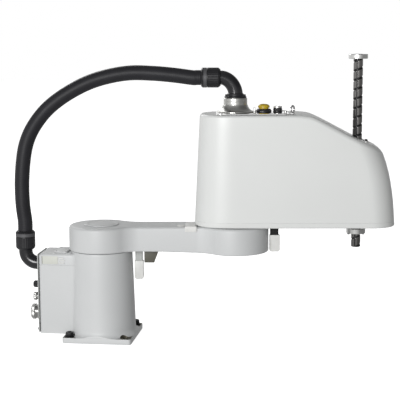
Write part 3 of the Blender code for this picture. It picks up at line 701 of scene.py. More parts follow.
def column_body():
    """Column and box in one skin, closed on top, with its foot inside the plate."""
    levels = [(0, 0.005)] + [(0, PLATE_TOP + FLARE * (1 - math.cos(a))) for a in quarter(10)]
    levels += [(0, 0.06), (0, 0.11), (0, GROOVE_HEIGHT - GROOVE_DEPTH), (GROOVE_DEPTH, GROOVE_HEIGHT)]
    levels += [(0, GROOVE_HEIGHT + GROOVE_DEPTH), *upper_rim(BOX_TOP, BOX_EDGE, 6)]
    shape = bmesh.new()
    made = skin([ring_at(column_section(height, inset), height) for inset, height in levels], shape)
    touch = web_place(BOX_TOP, BOX_EDGE)[1]

    def corners(places, height):
        return [shape.verts.new(place) for place in ring_at(places, height)]

    def back(radius):
        return arc((0, 0), radius, touch, 360 - touch, 40)[1:-1]

    top = made[-1]
    rear = corners(back(column_radius(BOX_TOP)), BOX_TOP)
    rings = [top[:FRONT_COUNT + 1] + rear]
    for down, pull in ((COLUMN_RIM, 0), (0.4 * COLUMN_RIM, 0.25 * COLUMN_RIM), (0, COLUMN_RIM)):
        height = COLUMN_TOP - down
        radius = column_radius(height) - pull
        front = arc((0, 0), radius, -touch, touch, FRONT_COUNT)
        rings.append(corners(front + back(radius), height))
    for lower, upper in zip(rings, rings[1:]):
        bridge(shape, lower, upper)
    for ring in (made[0], [*top[FRONT_COUNT:], top[0], *reversed(rear)], rings[-1]):
        shape.faces.new(ring)
    return shape


def base_casting():
    """Foot plate, column and box in one casting, with four drilled and spot-faced corners, their pockets darkened
    with painted shade.
    """
    below = prism(rounded_box(-0.2, -PLATE_HALF + 0.001, -0.1, 0.1, 0.001, 2), -0.01, PLATE_TOP)
    foot = slab(-PLATE_HALF, PLATE_HALF, -PLATE_HALF, PLATE_HALF, 0.006, 0, PLATE_TOP, 0.0012, 4)
    body = boolean(boolean(column_body(), below), foot, "UNION")
    drill = lathe([(0, -0.01), (BOLT_HOLE, -0.01), (BOLT_HOLE, SPOT_FACE), (SPOT_RADIUS, SPOT_FACE),
                   (SPOT_RADIUS, 0.045), (0, 0.045)], 48)
    offsets = (-BOLT_OFFSET, BOLT_OFFSET)
    body = boolean(body, array(drill, grid(offsets, offsets, 0)))
    made = add("base_housing", body, FOOT, "base", "painted_casting", "base_casting")

    def in_pocket(x, y, z):
        off = math.hypot(abs(x) - BOLT_OFFSET, abs(y) - BOLT_OFFSET)
        return off < SPOT_RADIUS + 0.0001 and 0 < z < PLATE_TOP + 0.03

    # the pocket faces get the dark pocket material: painted shade in the recesses, on bare metal
    repaint(made, "pocket_metal_painted_shade", in_pocket)


def foot_screws():
    seat = PLATE_TOP + 0.0003
    for side in ("front", "rear"):
        node = f"base_bolt_{side}"
        head = cap_screw(0.0082, high(node) - seat, 0.0042, 144, 0.00025)
        washer = [(0.0084, 0), (0.011, 0), (0.011, 0.0016), (0.0084, 0.0016)]
        lathe(washer, 96, 0.0004, shape=head)
        spot = centre(node)
        add(f"foot_screw_{side}", head, shift(FOOT, spot.x, spot.y, seat), "base", "black_steel", node)


def panel_face():
    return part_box("rear_panel")[0].x


def rear_panel():
    """A painted plate on a thin dark gasket, with its six screws."""
    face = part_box("rear_panel")[1].x
    gasket = 0.0006
    bottom, top = span("rear_panel")
    place = shift(FOOT, face, 0, 0)
    inset = BOX_CORNER + 0.001
    half = BOX_HALF - inset
    seal = slab(bottom + inset, top - inset, -half, half, 0.005, 0, gasket, 0.0002)
    add("rear_panel_gasket", along_x(seal), place, "base", "rubber")
    sheet = slab(bottom, top, -BOX_HALF, BOX_HALF, 0.006, gasket, face - panel_face())
    add("rear_panel_plate", along_x(sheet), place, "base", "painted_grey", "rear_panel")
    heads = grid((0.021, 0.1, 0.179), (-0.0345, 0.0345), 0)
    screws = along_x(array(cap_screw(0.003, 0.002, 0.0014, 24), heads))
    add("rear_panel_screws", screws, shift(FOOT, panel_face() - 0.0001, 0, 0), "base", "black_steel")


def box_lid():
    lowest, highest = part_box("box_top_cover")
    lid = slab(lowest.x, highest.x, lowest.y, highest.y, 0.004, lowest.z, highest.z, 0.0008)
    add("box_lid", lid, FOOT, "base", "painted_casting", "box_top_cover", slot="painted_grey")
    inset = 0.005
    heads = grid((lowest.x + inset, highest.x - inset), (lowest.y + inset, highest.y - inset),
                 highest.z - 0.0006)
    add("box_lid_screws", array(cap_screw(0.0022, 0.001, 0.0011, 24), heads), FOOT, "base", "steel")


def label():
    """A blank label plate, a dark strip of painted shade at its edge, and a few raised bars beside it."""
    lowest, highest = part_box("label_plate")
    side = shift(FOOT, 0, -BOX_HALF - 0.0002, 0)
    sheet = slab(lowest.x, highest.x, lowest.z, highest.z, 0.001, 0, 0.0006, 0.0002)
    add("label_blank", upright(sheet), side, "base", "label", "label_plate")
    # a thin dark strip along the label's left edge: painted shade where the label's edge would be shaded
    strip = slab(lowest.x - 0.0012, lowest.x - 0.0001, lowest.z, highest.z, 0.0003, 0, 0.0007, 0.0002)
    add("label_edge", upright(strip), side, "base", "olive")
    bars = bmesh.new()
    for x, length, z in ((-0.087, 0.011, 0.179), (-0.084, 0.011, 0.174), (-0.086, 0.0115, 0.169)):
        slab(x, x + length, z - 0.0013, z + 0.0013, 0.0012, -0.0002, 0.002, 0.0007, shape=bars)
    add("box_side_bars", upright(bars), side, "base", "off_white_plastic", slot="painted_casting")


# ---- rear connectors
def rear_place(node):
    """Where a node stands on the rear panel."""
    spot = centre(node)
    return shift(FOOT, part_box(node)[1].x, spot.y, spot.z)


def rear_connector(name, node, profile, finish, *grip):
    """A turned connector, from the panel out, with a knurled grip of (radius, depth, teeth, bottom, top)."""
    shape = lathe(profile, soft=0.0005)
    if grip:
        cogged(*grip, shape)
    add(name, along_x(shape), rear_place(node), "base", finish, node)


def connectors():
    knurl = 0.00045
    power = [(0, 0), (0.018, 0), (0.018, 0.003), (0.015, 0.003), *ribs(0.015, 0.0143, 0.0045, 0.0005, 7),
             (0.015, 0.0085), (0.0162, 0.0092), (0.0162, 0.0165), (0.015, 0.018), (0.0115, 0.018),
             (0.0115, 0.0165), (0, 0.0165)]
    rear_connector("power_plug", "power_connector", power, "steel_x", 0.0172, knurl, 44, 0.0095, 0.016)
    signal = [(0, 0), (0.0092, 0), (0.0092, 0.003), *ribs(0.0075, 0.007, 0.003, 0.0008, 5),
              (0.0082, 0.007), (0.0082, 0.0135), (0.0055, 0.0135), (0.0055, 0.0125), (0, 0.0125)]
    rear_connector("signal_plug", "signal_connector", signal, "steel_x", 0.009, knurl, 30, 0.0073, 0.0128)
    user = [(0, 0), (0.0075, 0), (0.0075, 0.002), (0.0066, 0.0022), (0.0066, 0.012), (0.006, 0.0135),
            (0.0035, 0.0135), (0.0035, 0.0128), (0, 0.0128)]
    rear_connector("user_plug", "user_connector", user, "black_steel", 0.0075, knurl, 26, 0.0045, 0.0118)
    fitting = [(0, 0), (0.0055, 0), (0.0055, 0.0035), (0.0045, 0.004), (0.004, 0.0046), (0.0045, 0.0052),
               (0.0045, 0.0095), (0.004, 0.011), (0.0026, 0.011), (0.0026, 0.006), (0, 0.006)]
    for name in ("air_fitting_upper", "air_fitting_lower"):
        rear_connector(f"{name}_body", name, fitting, "steel_x")
    gasket = lathe([(0.0181, 0), (0.0186, 0), (0.0186, 0.0012), (0.0181, 0.0012)])
    add("power_plug_gasket", along_x(gasket), rear_place("power_connector"), "base", "rubber")


# ---- hose ends
NUT_BODY = 0.0212
NUT_BAND = 0.0215
NUT_MOUTH = 0.0168
NUT_LENGTH = 0.0415                   # of the upper union nut


def hose_nut(name, node, place, body, length):
    """A union nut: fluted grip, a smooth grey band, and a lipped mouth that the hose enters."""
    wall = NUT_BODY - 0.0004
    waist = NUT_BAND - 0.0003
    band_0 = 0.7 * length
    band_1 = length - 0.005
    profile = [(0.014, 0), (NUT_BODY - 0.0042, 0), (wall, 0.0042), (wall, band_0), (NUT_MOUTH, band_0),
               (NUT_MOUTH, band_0 - 0.002), (0.014, band_0 - 0.002)]
    grip = lathe(profile, 96, 0.0008)
    cogged(NUT_BODY, 0.00035, 30, 0.0048, band_0 - 0.0012, grip)
    add(name, grip, place, body, "black_plastic", node)
    band = [(NUT_MOUTH, band_0 + 0.0004), (waist, band_0 + 0.0004), (waist, band_1), (NUT_MOUTH, band_1)]
    add(f"{name}_band", lathe(band, 96), place, body, "band_plastic")
    lip = [(NUT_MOUTH, band_1 + 0.0002), (NUT_BAND, band_1 + 0.0002), (NUT_BAND, band_1 + 0.0014),
           (NUT_BAND - 0.003, length), (0.0166, length), (0.0164, length - 0.0015)]
    add(f"{name}_lip", lathe(lip, 96, 0.0006), place, body, "black_plastic")


def bend_path(start, middle, reach, first, last, end, fullness=2.0):
    """A straight start, a superelliptic quarter turn in the XZ plane, and a straight end."""
    path = [start]
    for x, z in arc((0, 0), 1, first, last, 28):
        x = math.copysign(abs(x) ** (2 / fullness), x)
        z = math.copysign(abs(z) ** (2 / fullness), z)
        path.append(middle + point(reach[0] * x, 0, reach[1] * z))
    return [*path, end]


def lower_elbow():
    face = panel_face() - 0.0003
    port = 0.1605
    bend = 0.0255
    middle = point(HOSE_FOOT.x + bend, 0, port + bend)
    path = bend_path(point(face + 0.0002, 0, port), middle, (bend, bend), 270, 180,
                     point(HOSE_FOOT.x, 0, 0.1903))
    elbow = sweep(path, [0.0148] * len(path), 56)
    add("elbow_lower", elbow, FOOT, "base", "elbow_plastic", "hose_elbow_lower")
    profile = [(0.013, 0), (0.0215, 0), (0.0215, 0.0035), (0.0165, 0.0036), (0.0152, 0.0062),
               (0.013, 0.0062)]
    flange = along_x(lathe(profile, soft=0.0006))
    add("elbow_lower_flange", flange, shift(FOOT, face, 0, port), "base", "black_plastic")
    nut = "hose_nut_lower"
    hose_nut("union_nut_lower", nut, shift(FOOT, HOSE_FOOT.x, 0, low(nut)), "base", tall(nut))


def upper_elbow():
    """Elbow, flange, screws and union nut, all on the gland's swivel."""
    swivel = low("hose_elbow_upper")
    reach = (0.0305, 0.034)
    middle = point(-reach[0], 0, NUT_HEIGHT - reach[1])
    path = bend_path(point(0, 0, swivel + 0.001), middle, reach, 0, 90, point(-0.0318, 0, NUT_HEIGHT), 1.8)
    radii = [0.0158 - 0.001 * share for share in shares(len(path) - 1)]
    add("elbow_upper", sweep(path, radii, 56), HEAD, "hose_swivel", "elbow_plastic", "hose_elbow_upper")
    profile = [(0.0135, 0), (0.0235, 0), (0.0235, 0.003), (0.0184, 0.0032), (0.0178, 0.008),
               (0.0156, 0.0096), (0.0135, 0.0096)]
    flange = lathe(profile, 80, 0.0007)
    add("elbow_upper_flange", flange, shift(HEAD, 0, 0, swivel), "hose_swivel", "black_plastic")
    for name, side in (("elbow_screw_rear", -1), ("elbow_screw_front", 1)):
        place = shift(HEAD, side * 0.019, 0, low(name))
        head = cap_screw(0.003, tall(name), 0.0015)
        add(f"{name}_head", head, place, "hose_swivel", "black_steel", name)
    place = shift(HEAD, -0.0315, 0, NUT_HEIGHT) @ spin(-90, "Y")
    hose_nut("union_nut_upper", "hose_nut_upper", place, "hose_swivel", NUT_LENGTH)


# ---- first link
ARM_RADIUS_1 = 0.0705
ARM_RADIUS_2 = 0.0715
ARM_WAIST = 0.04
ARM_BLEND = 0.06
BELLY = [0.13, 0.25]                  # where the link's underside starts and stops to deepen
BELLY_DROP = 0.004


def link_outline(inset, count=48, web=14):
    """Two round ends joined by hollow sides, all pulled in alike."""
    radius_1 = ARM_RADIUS_1 - inset
    radius_2 = ARM_RADIUS_2 - inset
    blend = ARM_BLEND + inset
    y = ARM_WAIST - inset + blend
    touch_1 = math.acos(y / (radius_1 + blend))
    touch_2 = math.acos(y / (radius_2 + blend))
    turn_1 = 90 - math.degrees(touch_1)
    turn_2 = 90 - math.degrees(touch_2)
    x_1 = (radius_1 + blend) * math.sin(touch_1)
    x_2 = LINK_1 - (radius_2 + blend) * math.sin(touch_2)
    points = arc((0, 0), radius_1, 180, 360 - turn_1, count)[:-1]
    points += arc((x_1, -y), blend, 180 - turn_1, 90, web)
    points += arc((x_2, -y), blend, 90, turn_2, web)[:-1]
    points += arc((LINK_1, 0), radius_2, turn_2 - 180, 180 - turn_2, 2 * count)[:-1]
    points += arc((x_2, y), blend, -turn_2, -90, web)
    points += arc((x_1, y), blend, -90, turn_1 - 180, web)[:-1]
    return points + arc((0, 0), radius_1, turn_1, 180, count)[:-1]


def deepen(body, middle):
    """Lowers the link's underside gently towards the second axis."""
    for x in BELLY:
        parts = [*body.verts, *body.edges, *body.faces]
        bmesh.ops.bisect_plane(body, geom=parts, plane_co=(x, 0, 0), plane_no=(1, 0, 0))
    for vert in body.verts:
        if vert.co.z < middle:
            share = (vert.co.x - BELLY[0]) / (BELLY[1] - BELLY[0])
            vert.co.z -= BELLY_DROP * min(max(share, 0), 1)


def first_link():
    bottom, top = span("lower_arm_casting")
    body = plate(link_outline, bottom, top, 0.003, 8, top_edge=0.0065)
    deepen(body, (bottom + top) / 2)
    ledge = prism(rounded_box(0.056, 0.22, -0.032, 0.032, 0.01), bottom - 0.01, bottom + 0.0035)
    add("first_link_housing", boolean(body, ledge), ARM, "lower_arm", "painted_casting", "lower_arm_casting")
    lid = slab(0.0565, 0.2195, -0.0315, 0.0315, 0.0095, *span("lower_arm_cover"))
    add("first_link_lid", lid, ARM, "lower_arm", "painted_grey", "lower_arm_cover")
    profile = [(0, 0), (0.0375, 0), (0.0375, 0.0012), (0.0368, 0.0018), (0.029, 0.0018), (0.0284, 0.0012),
               (0.0278, 0.0018), (0, 0.0018)]
    cap = lathe(profile, 96, 0.0003)
    add("first_axis_cap", cap, shift(FOOT, 0, 0, low("j1_cap")), "lower_arm", "painted_casting", "j1_cap")


def hard_stop(name, joint, frame_place, body, x, length, spacer_length, finish):
    """An upright stop block with round lower corners, and the spacer that it hangs from."""
    node = f"{joint}_stop_block"
    corner = 0.005
    height = tall(node)
    outline = [(0, height), *arc((corner, corner), corner, 180, 270, 8)]
    outline += [*arc((length - corner, corner), corner, 270, 360, 8), (length, height)]
    block = upright(prism(outline, -0.006, 0.006))
    place = shift(frame_place, x, 0, low(node))
    add(name, block, place, body, "off_white_plastic", node, bevel=0.001)
    node = f"{joint}_stop_spacer"
    x += 0.0015
    spacer = slab(x, x + spacer_length, -0.006, 0.006, 0.002, *span(node), 0.0005)
    add(f"{name}_spacer", spacer, frame_place, body, finish, node, slot="rubber")


def bumper_pad():
    """The bumper over the link's near edge: a plate on top, a lip down the side, cut corners between."""
    top = high("j2_stop_pad")
    under = high("lower_arm_casting") + 0.0003
    bottom = under - 0.0103
    side = -ARM_WAIST - 0.0003
    lip = side - 0.0028
    profile = [(0.018, under), (0.018, top), (lip + 0.0012, top), (lip, top - 0.0012), (lip, bottom),
               (side, bottom), (side, under - 0.005), (side + 0.005, under)]
    return moved(prism(profile, 0, 0.025), spin(90, "Z") @ spin(90, "X"))


def first_link_stops():
    hard_stop("first_stop", "j1", ARM, "lower_arm", 0.071, 0.0195, 0.016, "painted_grey")
    bottom, top = span("j1_stop_bracket")
    outline = [(0.0925, top), (0.0925, bottom), (0.114, bottom), (0.125, top)]
    bracket = upright(prism(outline, -0.01, 0.01))
    # the bracket's dark olive is painted shade: it sits in shade under the first link
    add("first_stop_bracket", bracket, ARM, "lower_arm", "olive", "j1_stop_bracket", bevel=0.0012)
    place = shift(ARM, LINK_1 - 0.108, 0, 0)
    add("pad_plate", bumper_pad(), place, "lower_arm", "off_white_plastic", "j2_stop_pad", bevel=0.0007)
    lug = slab(LINK_1 - 0.125, LINK_1 - 0.1085, -0.033, -0.019, 0.0045, *span("j2_stop_lug"))
    add("pad_lug", lug, ARM, "lower_arm", "off_white_plastic", "j2_stop_lug")


# ---- second link
HEAD_TOP = 0.488
HEAD_BOTTOM = low("upper_arm_floor")
HEAD_FLOOR = 0.2615
SEAM = 0.0002                         # softened edges along the cover's foot
HEAD_HALF = 0.075
HEAD_TAPER = 0.004                    # how much narrower it is at its top
HEAD_CORNER = 0.05
HEAD_WALL = 0.004
REAR_POWER = 2.6
BACK = [(0.135, 0.488), (0.157, 0.4855), (0.174, 0.479), (0.204, 0.464), (0.23, 0.45),
        (0.255, 0.437), (0.28, 0.427), (0.3, 0.4195), (0.32, 0.4095)]
NOSE = [(0.25, 0.339), (0.301, 0.3355), (0.331, 0.3315), (0.358, 0.3265), (0.386, 0.319),
        (0.414, 0.3085), (0.44, 0.297)]
REAR = [(0.25, 0.088), (0.49, 0.076)]
BACK_EDGE = [(0.11, 0.006), (0.2, 0.011)]      # round-over along its back, from rear to nose
REAR_COUNT = 36                       # points on a quarter of its rear end
SIDE_COUNT = 44


def head_outline(height, inset):
    """The second link's outline at one height: a squarish round rear and a nose with wide corners."""
    rear = eased(REAR, height) - inset
    share = (height - HEAD_BOTTOM) / (HEAD_TOP - HEAD_BOTTOM)
    half = HEAD_HALF - HEAD_TAPER * share - inset
    corner = HEAD_CORNER - inset
    front = eased(NOSE, height) - inset - corner
    points = []
    for x, y in arc((0, 0), 1, 90, 270, 2 * REAR_COUNT):
        reach = abs(y) ** (2 / REAR_POWER)
        points.append((-rear * abs(x) ** (2 / REAR_POWER), half * math.copysign(reach, y)))
    side = [front * share for share in shares(SIDE_COUNT)[1:-1]]
    points += [(x, -half) for x in side]
    points += arc((front, corner - half), corner, 270, 360, 20)
    points += arc((front, half - corner), corner, 0, 90, 20)
    return points + [(x, half) for x in reversed(side)]


def head_shell(inset, bottom, edge_steps, lower_edge=0.0):
    """The cover's closed form, pulled in by inset, with its round-over and its ruled back."""
    def level(share, angle, pull=0.0):
        row = []
        for i, (x, y) in enumerate(head_outline(bottom, inset)):
            height = bottom
            for _ in range(5):
                edge = eased(BACK_EDGE, x) - inset / 2
                back = eased(BACK, x) - inset
                height = bottom + share * (back - edge - bottom) + edge * math.sin(angle)
                x, y = head_outline(height, inset + pull + edge * (1 - math.cos(angle)))[i]
            row.append((x, y, height))
        return row

    rows = [level(0, 0, lower_edge)] if lower_edge else []
    lift = lower_edge / (HEAD_TOP - bottom)
    rows += [level(lift + (1 - lift) * share, 0) for share in (0, 0.15, 0.3, 0.45, 0.6, 0.75, 0.9, 1)]
    rows += [level(1, angle) for angle in quarter(edge_steps)[1:]]
    shape = bmesh.new()
    made = skin(rows, shape)
    shape.faces.new(made[0])
    top = made[-1]
    count = len(top)
    for i in range(REAR_COUNT, (2 * REAR_COUNT + count) // 2):
        ring = [top[i], top[i + 1], top[(2 * REAR_COUNT - i - 1) % count], top[(2 * REAR_COUNT - i) % count]]
        shape.faces.new(list(dict.fromkeys(ring)))
    return shape


def second_link():
    """Floor casting and one-piece cover, with a fine shadow line between them."""
    rows = [ring_at(head_outline(HEAD_BOTTOM, inset), height)
            for inset, height in lower_rim(HEAD_BOTTOM, 0.003, 5)]
    rows += [ring_at(head_outline(HEAD_FLOOR, inset), HEAD_FLOOR - SEAM + inset) for inset in (0, SEAM)]
    hole = prism(circle(0.028, 64), 0.2, 0.3)
    floor = boolean(loft(rows), moved(hole, shift(FOOT, LINK_2, 0, 0)))
    add("second_link_floor", floor, HEAD, "upper_arm", "painted_cover", "upper_arm_floor",
        slot="painted_casting")
    cover = head_shell(0, HEAD_FLOOR + 0.0001, 10, SEAM)
    cover = boolean(cover, head_shell(HEAD_WALL, HEAD_FLOOR - 0.01, 4))
    window = prism(rounded_box(LINK_2 - 0.014, LINK_2 + 0.027, -0.014, 0.014, 0.0139, 16), 0.39, 0.47)
    add("second_link_cover", boolean(cover, window), HEAD, "upper_arm", "painted_cover", "upper_arm_cover",
        sharp=28)


def quill_guard():
    """What shows in the cover's window: a wiper ring round the quill and a small screwed bracket."""
    profile = [(0.0106, 0), (0.0138, 0), (0.0138, 0.006), (0.0118, 0.008), (0.0106, 0.008)]
    ring = lathe(profile, soft=0.0006)
    add("quill_wiper", ring, shift(HEAD, LINK_2, 0, 0.418), "upper_arm", "rubber")
    top = 0.429
    bracket = slab(LINK_2 + 0.015, LINK_2 + 0.0235, -0.0085, 0.0085, 0.004, 0.4, top)
    add("quill_bracket", bracket, HEAD, "upper_arm", "steel")
    spots = grid((LINK_2 + 0.0192,), (-0.0045, 0.0045), top + 0.0001)
    screws = array(cap_screw(0.0026, 0.0026, 0.0013, 32), spots)
    add("quill_bracket_screws", screws, HEAD, "upper_arm", "black_steel")


def second_link_stop():
    hard_stop("second_stop", "j2", HEAD, "upper_arm", 0.0735, 0.0225, 0.018, "rubber")


# ---- top panel and its fittings
def on_panel(x, y, node):
    return shift(HEAD, x, y, low(node))


def top_panel():
    sheet = slab(-0.041, 0.112, -0.058, 0.058, 0.01, 0, tall("top_panel"), 0.0005, count=12)
    add("top_plate", sheet, on_panel(0, 0, "top_panel"), "upper_arm", "panel", "top_panel")
    heads = grid((0.046, 0.104), (-0.051, 0.051), high("top_panel") + 0.0001)
    add("top_plate_screws", array(cap_screw(0.003, 0.0005, 0.0014, 32), heads), HEAD, "upper_arm", "steel")


def gland():
    """The turned gland: a flared foot, and a ringed collar that the elbow swivels on."""
    profile = [(0, 0), (0.039, 0), (0.0395, 0.0006), (0.0395, 0.0016), (0.0388, 0.0021), (0.0366, 0.0027),
               (0.034, 0.004), (0.0316, 0.006), (0.0295, 0.0086), (0.0278, 0.0118), (0.0266, 0.0154),
               (0.0258, 0.0158), (0, 0.0158)]
    foot = lathe(profile, 128, 0.0012)
    add("gland_foot", foot, on_panel(0, 0, "gland_cone"), "upper_arm", "aluminium", "gland_cone")
    height = tall("gland_collar")
    outer = 0.0255
    inner = 0.0251
    profile = [(0, 0), (0.0247, 0), (outer, 0.0008)]
    for i in range(5):
        start = 0.0022 + 0.0031 * i
        profile += [(outer, start), (inner, start + 0.0003), (inner, start + 0.0006), (outer, start + 0.0009)]
    profile += [(outer, height - 0.0008), (0.0248, height), (0, height)]
    neck = lathe(profile, 128)
    add("gland_neck", neck, on_panel(0, 0, "gland_collar"), "upper_arm", "aluminium", "gland_collar")


BUTTON_X = 0.0605
BUTTON_HEAD = 0.0126                  # the yellow head's radius


def release_button():
    profile = [(0.0062, 0), (0.0165, 0), (0.0165, 0.0034), (0.0158, 0.005), (0.0138, 0.007),
               (0.0109, 0.007), (0.0108, 0.0066), (0.0108, 0.0031), (0.0062, 0.0031)]
    collar = lathe(soften(profile, 0.0007, 4), 72)
    cogged(0.0166, 0.0006, 24, 0.0004, 0.003, collar)
    place = on_panel(BUTTON_X, 0, "button_base")
    add("button_collar", collar, place, "upper_arm", "black_plastic", "button_base")
    node = "brake_release_button"
    rise = tall(node)
    under = high("button_base") - low(node) + 0.0023
    side = under + 0.0022
    dome = [(BUTTON_HEAD * math.cos(a) ** 0.7, side + (rise - side) * math.sin(a)) for a in quarter(10)]
    profile = [(0, 0), (0.0055, 0), (0.0055, 0.0028), (0.0094, 0.0028), (0.01, 0.0034), (0.01, under),
               (BUTTON_HEAD - 0.0006, under), (BUTTON_HEAD, under + 0.0006), *dome[:-1], (0, rise)]
    add("button_dome", lathe(profile, 72), on_panel(BUTTON_X, 0, node), "release_button", "yellow", node)


def user_socket():
    """A capped round socket: black body, bright screw ring on top, and pins in its recess."""
    place = on_panel(0.09, 0, "user_socket")
    profile = [(0, 0), (0.01, 0), (0.01, 0.0022), (0.0088, 0.0026), (0.0088, 0.0086), (0.0064, 0.0088),
               (0.0062, 0.006), (0, 0.006)]
    shape = lathe(profile, soft=0.0005)
    cogged(0.0096, 0.0005, 20, 0.003, 0.0078, shape)
    add("socket_body", shape, place, "upper_arm", "black_plastic", "user_socket")
    ring = [(0.0066, 0.0088), (0.0092, 0.0088), (0.0092, 0.012), (0.0086, 0.0125), (0.0066, 0.0125)]
    add("socket_ring", lathe(ring, soft=0.0003), place, "upper_arm", "collar_steel")
    pin = lathe([(0, 0), (0.0006, 0), (0.0006, 0.0034), (0.0003, 0.004), (0, 0.004)], 16)
    pins = array(pin, ring_at([*circle(0.0036, 5), (0, 0)], 0.006))
    add("socket_pins", pins, place, "upper_arm", "brass")


def panel_hardware():
    """Guide pin, earth screw and lifting eye."""
    profile = [(0, 0), (0.003, 0), (0.003, 0.0025), (0.0018, 0.0032), (0.0018, 0.0112), (0.0012, 0.012),
               (0, 0.012)]
    pin = lathe(profile, 40, 0.0004)
    add("locating_pin", pin, on_panel(0.04, -0.02, "guide_pin"), "upper_arm", "steel", "guide_pin")
    head = cap_screw(0.0032, tall("earth_screw"), 0.0016, 40)
    place = on_panel(0.106, -0.018, "earth_screw")
    add("earth_screw_head", head, place, "upper_arm", "steel", "earth_screw")
    profile = [(0, 0), (0.0055, 0), (0.0055, 0.0012), (0.0046, 0.0018), (0.003, 0.0024), (0.0025, 0.003),
               (0.0025, 0.0042), (0, 0.0042)]
    stem = lathe(profile, 40, 0.0004)
    radius = 0.007
    bar = 0.0022
    ring = lathe([(radius + a, b) for a, b in circle(bar, 20)], 48)
    lift = tall("lifting_eye") - radius - bar
    ring = moved(ring, shift(FOOT, 0, 0, lift) @ spin(58, "Z") @ spin(90, "X"))
    place = on_panel(0.12, -0.03, "lifting_eye")
    add("eye_bolt", boolean(stem, ring, "UNION"), place, "upper_arm", "chrome", "lifting_eye")


# ---- quill
QUILL_RADIUS = 0.01
QUILL_CHAMFER = 0.0012
LEAD = 0.02
GROOVE_WIDTH = 0.0044
GROOVE_CUT = 0.0011
SPLINES = 4
SPLINE_WIDTH = 0.003


def groove(off, width):
    """How deep a round groove is, from 0 to 1, this far from its middle."""
    share = 2 * abs(off) / width
    return math.sqrt(1 - share * share) if share < 1 else 0.0


def quill_shaft():
    """The hardened shaft: a ball track that climbs 20 mm a turn, crossed by straight spline grooves."""
    bottom, top = span("quill_shaft")
    around = circle(1, 120)
    pitch = math.tau / SPLINES
    rows = []
    for share in shares(round((top - bottom) / 0.0008)):
        height = bottom + (top - bottom) * share
        reach = QUILL_RADIUS - max(0.0, QUILL_CHAMFER - min(height - bottom, top - height))
        row = []
        for i, (x, y) in enumerate(around):
            climb = (height - LEAD * i / len(around)) % LEAD
            off = (math.tau * i / len(around) + pitch / 2) % pitch - pitch / 2
            track = groove(min(climb, LEAD - climb), GROOVE_WIDTH)
            radius = reach - GROOVE_CUT * max(track, groove(off * QUILL_RADIUS, SPLINE_WIDTH))
            row.append((radius * x, radius * y, height))
        rows.append(row)
    place = QUILL @ spin(-108, "Z")
    made = add("quill_spindle", loft(rows), place, "quill", "quill_steel", "quill_shaft", sharp=50)

    def in_groove(x, y, z):
        inside = math.hypot(x, y) < QUILL_RADIUS - 0.45 * GROOVE_CUT
        return inside and bottom + QUILL_CHAMFER < z < top - QUILL_CHAMFER

    # the faces down in the grooves get the dark black-oxide material: painted shade in the grooves
    repaint(made, "black_steel", in_groove)


def clamp_collar(name, node, slot_turn):
    """A split clamp collar with chamfered rims and a slot."""
    bottom, top = span(node)
    inner = QUILL_RADIUS + 0.0003
    outer = 0.0205
    rim = 0.0008
    ring = lathe([(inner, bottom), (outer - rim, bottom), (outer, bottom + rim), (outer, top - rim),
                  (outer - rim, top), (inner, top)], 96)
    outline = rounded_box(inner - 0.002, outer + 0.002, -0.0006, 0.0006, 0.0002, 2)
    split = prism(outline, bottom - 0.01, top + 0.01)
    add(name, boolean(ring, split), QUILL @ spin(slot_turn, "Z"), "quill", "collar_steel", node)


def quill():
    quill_shaft()
    clamp_collar("quill_collar_top", "quill_top_collar", 150)
    clamp_collar("quill_collar_lower", "quill_lower_collar", 40)
    for name, side in (("collar_screw_left", -1), ("collar_screw_right", 1)):
        head = moved(cap_screw(0.0028, tall(name), 0.0014, 32), spin(180, "X"))
        place = shift(QUILL, side * 0.0155, 0, high(name))
        add(f"{name}_head", head, place, "quill", "black_steel", name)


# ---- the whole arm
def build_arm():
    hose, line = make_hose()
    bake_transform(hose)
    lower_elbow()
    upper_elbow()
    for make in (base_casting, foot_screws, rear_panel, box_lid, label, connectors, first_link,
                 first_link_stops, second_link, quill_guard, second_link_stop, top_panel, gland,
                 release_button, user_socket, panel_hardware, quill):
        make()


build_arm()


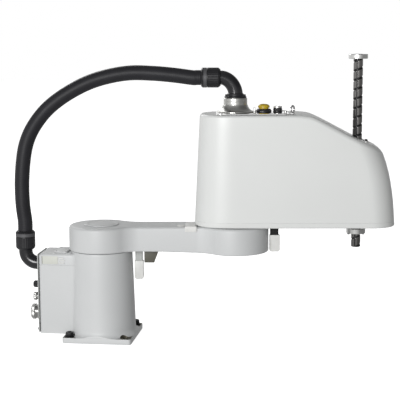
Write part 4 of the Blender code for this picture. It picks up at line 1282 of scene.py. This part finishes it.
# ---- floor and light
def make_floor():
    """A wide pale floor that glows like a white studio sweep, and throws no light on the arm."""
    nodes = Nodes("studio_floor", (0.86, 0.86, 0.86), 0.8, Emission_Color=(1, 1, 1, 1),
                  Emission_Strength=0.85)
    nodes.colour(nodes.noise(0.8, 2.0, 0.5), (0.3, 0.85), (0.7, 0.87))
    floor = solid("floor", lathe([(0, 0), (12.0, 0)], 96))
    floor.data.materials.append(nodes.material)
    floor.location.z = -0.0005
    floor.visible_diffuse = False
    floor.visible_glossy = False


def make_world():
    """A white room: brightest at the horizon, grey overhead, and dimmer on the arm's right."""
    world = bpy.data.worlds.new("studio")
    bpy.context.scene.world = world
    world.use_nodes = True
    tree = world.node_tree
    place = tree.nodes.new("ShaderNodeTexCoord").outputs["Generated"]
    split = add_node(tree, "SeparateXYZ", place, "Vector")
    height = add_node(tree, "MapRange", split.outputs["Z"], "Value", From_Min=-1.0)
    climb = add_node(tree, "ValToRGB", height.outputs["Result"], "Fac")
    bands = ((-0.3, 0.58), (0.75, 0.24), (-0.12, 0.62), (-0.06, 1.0), (0.17, 1.0), (0.32, 0.36))
    set_stops(climb.color_ramp, [((rise + 1) / 2, grey) for rise, grey in bands])
    side = add_node(tree, "MapRange", split.outputs["X"], "Value", From_Min=0.2, From_Max=0.85,
                    To_Min=1.0, To_Max=0.36)
    side.interpolation_type = "SMOOTHSTEP"
    product = tree.nodes.new("ShaderNodeMix")
    product.data_type = "RGBA"
    product.blend_type = "MULTIPLY"
    fill(product, Factor=1.0)
    sockets = [socket for socket in product.inputs if socket.type == "RGBA"]
    tree.links.new(climb.outputs["Color"], sockets[0])
    tree.links.new(side.outputs["Result"], sockets[1])
    result = next(socket for socket in product.outputs if socket.type == "RGBA")
    tree.links.new(result, tree.nodes["Background"].inputs["Color"])
    fill(tree.nodes["Background"], Strength=1.0)


LIT_PLACE = Vector((0.2, 0, 0.3))     # what both lights point at


def soft_light(name, place, size, power):
    light = bpy.data.lights.new(name, "AREA")
    light.size = size
    light.energy = power
    made = put(name, light)
    made.location = place
    made.rotation_euler = (LIT_PLACE - made.location).to_track_quat("-Z", "Y").to_euler()


make_floor()
make_world()
soft_light("key", (-0.45, -2.95, 0.9), 1.1, 62)
soft_light("rim", (-1.2, 2.2, 1.9), 1.2, 20)
bpy.context.scene.view_settings.view_transform = "Standard"
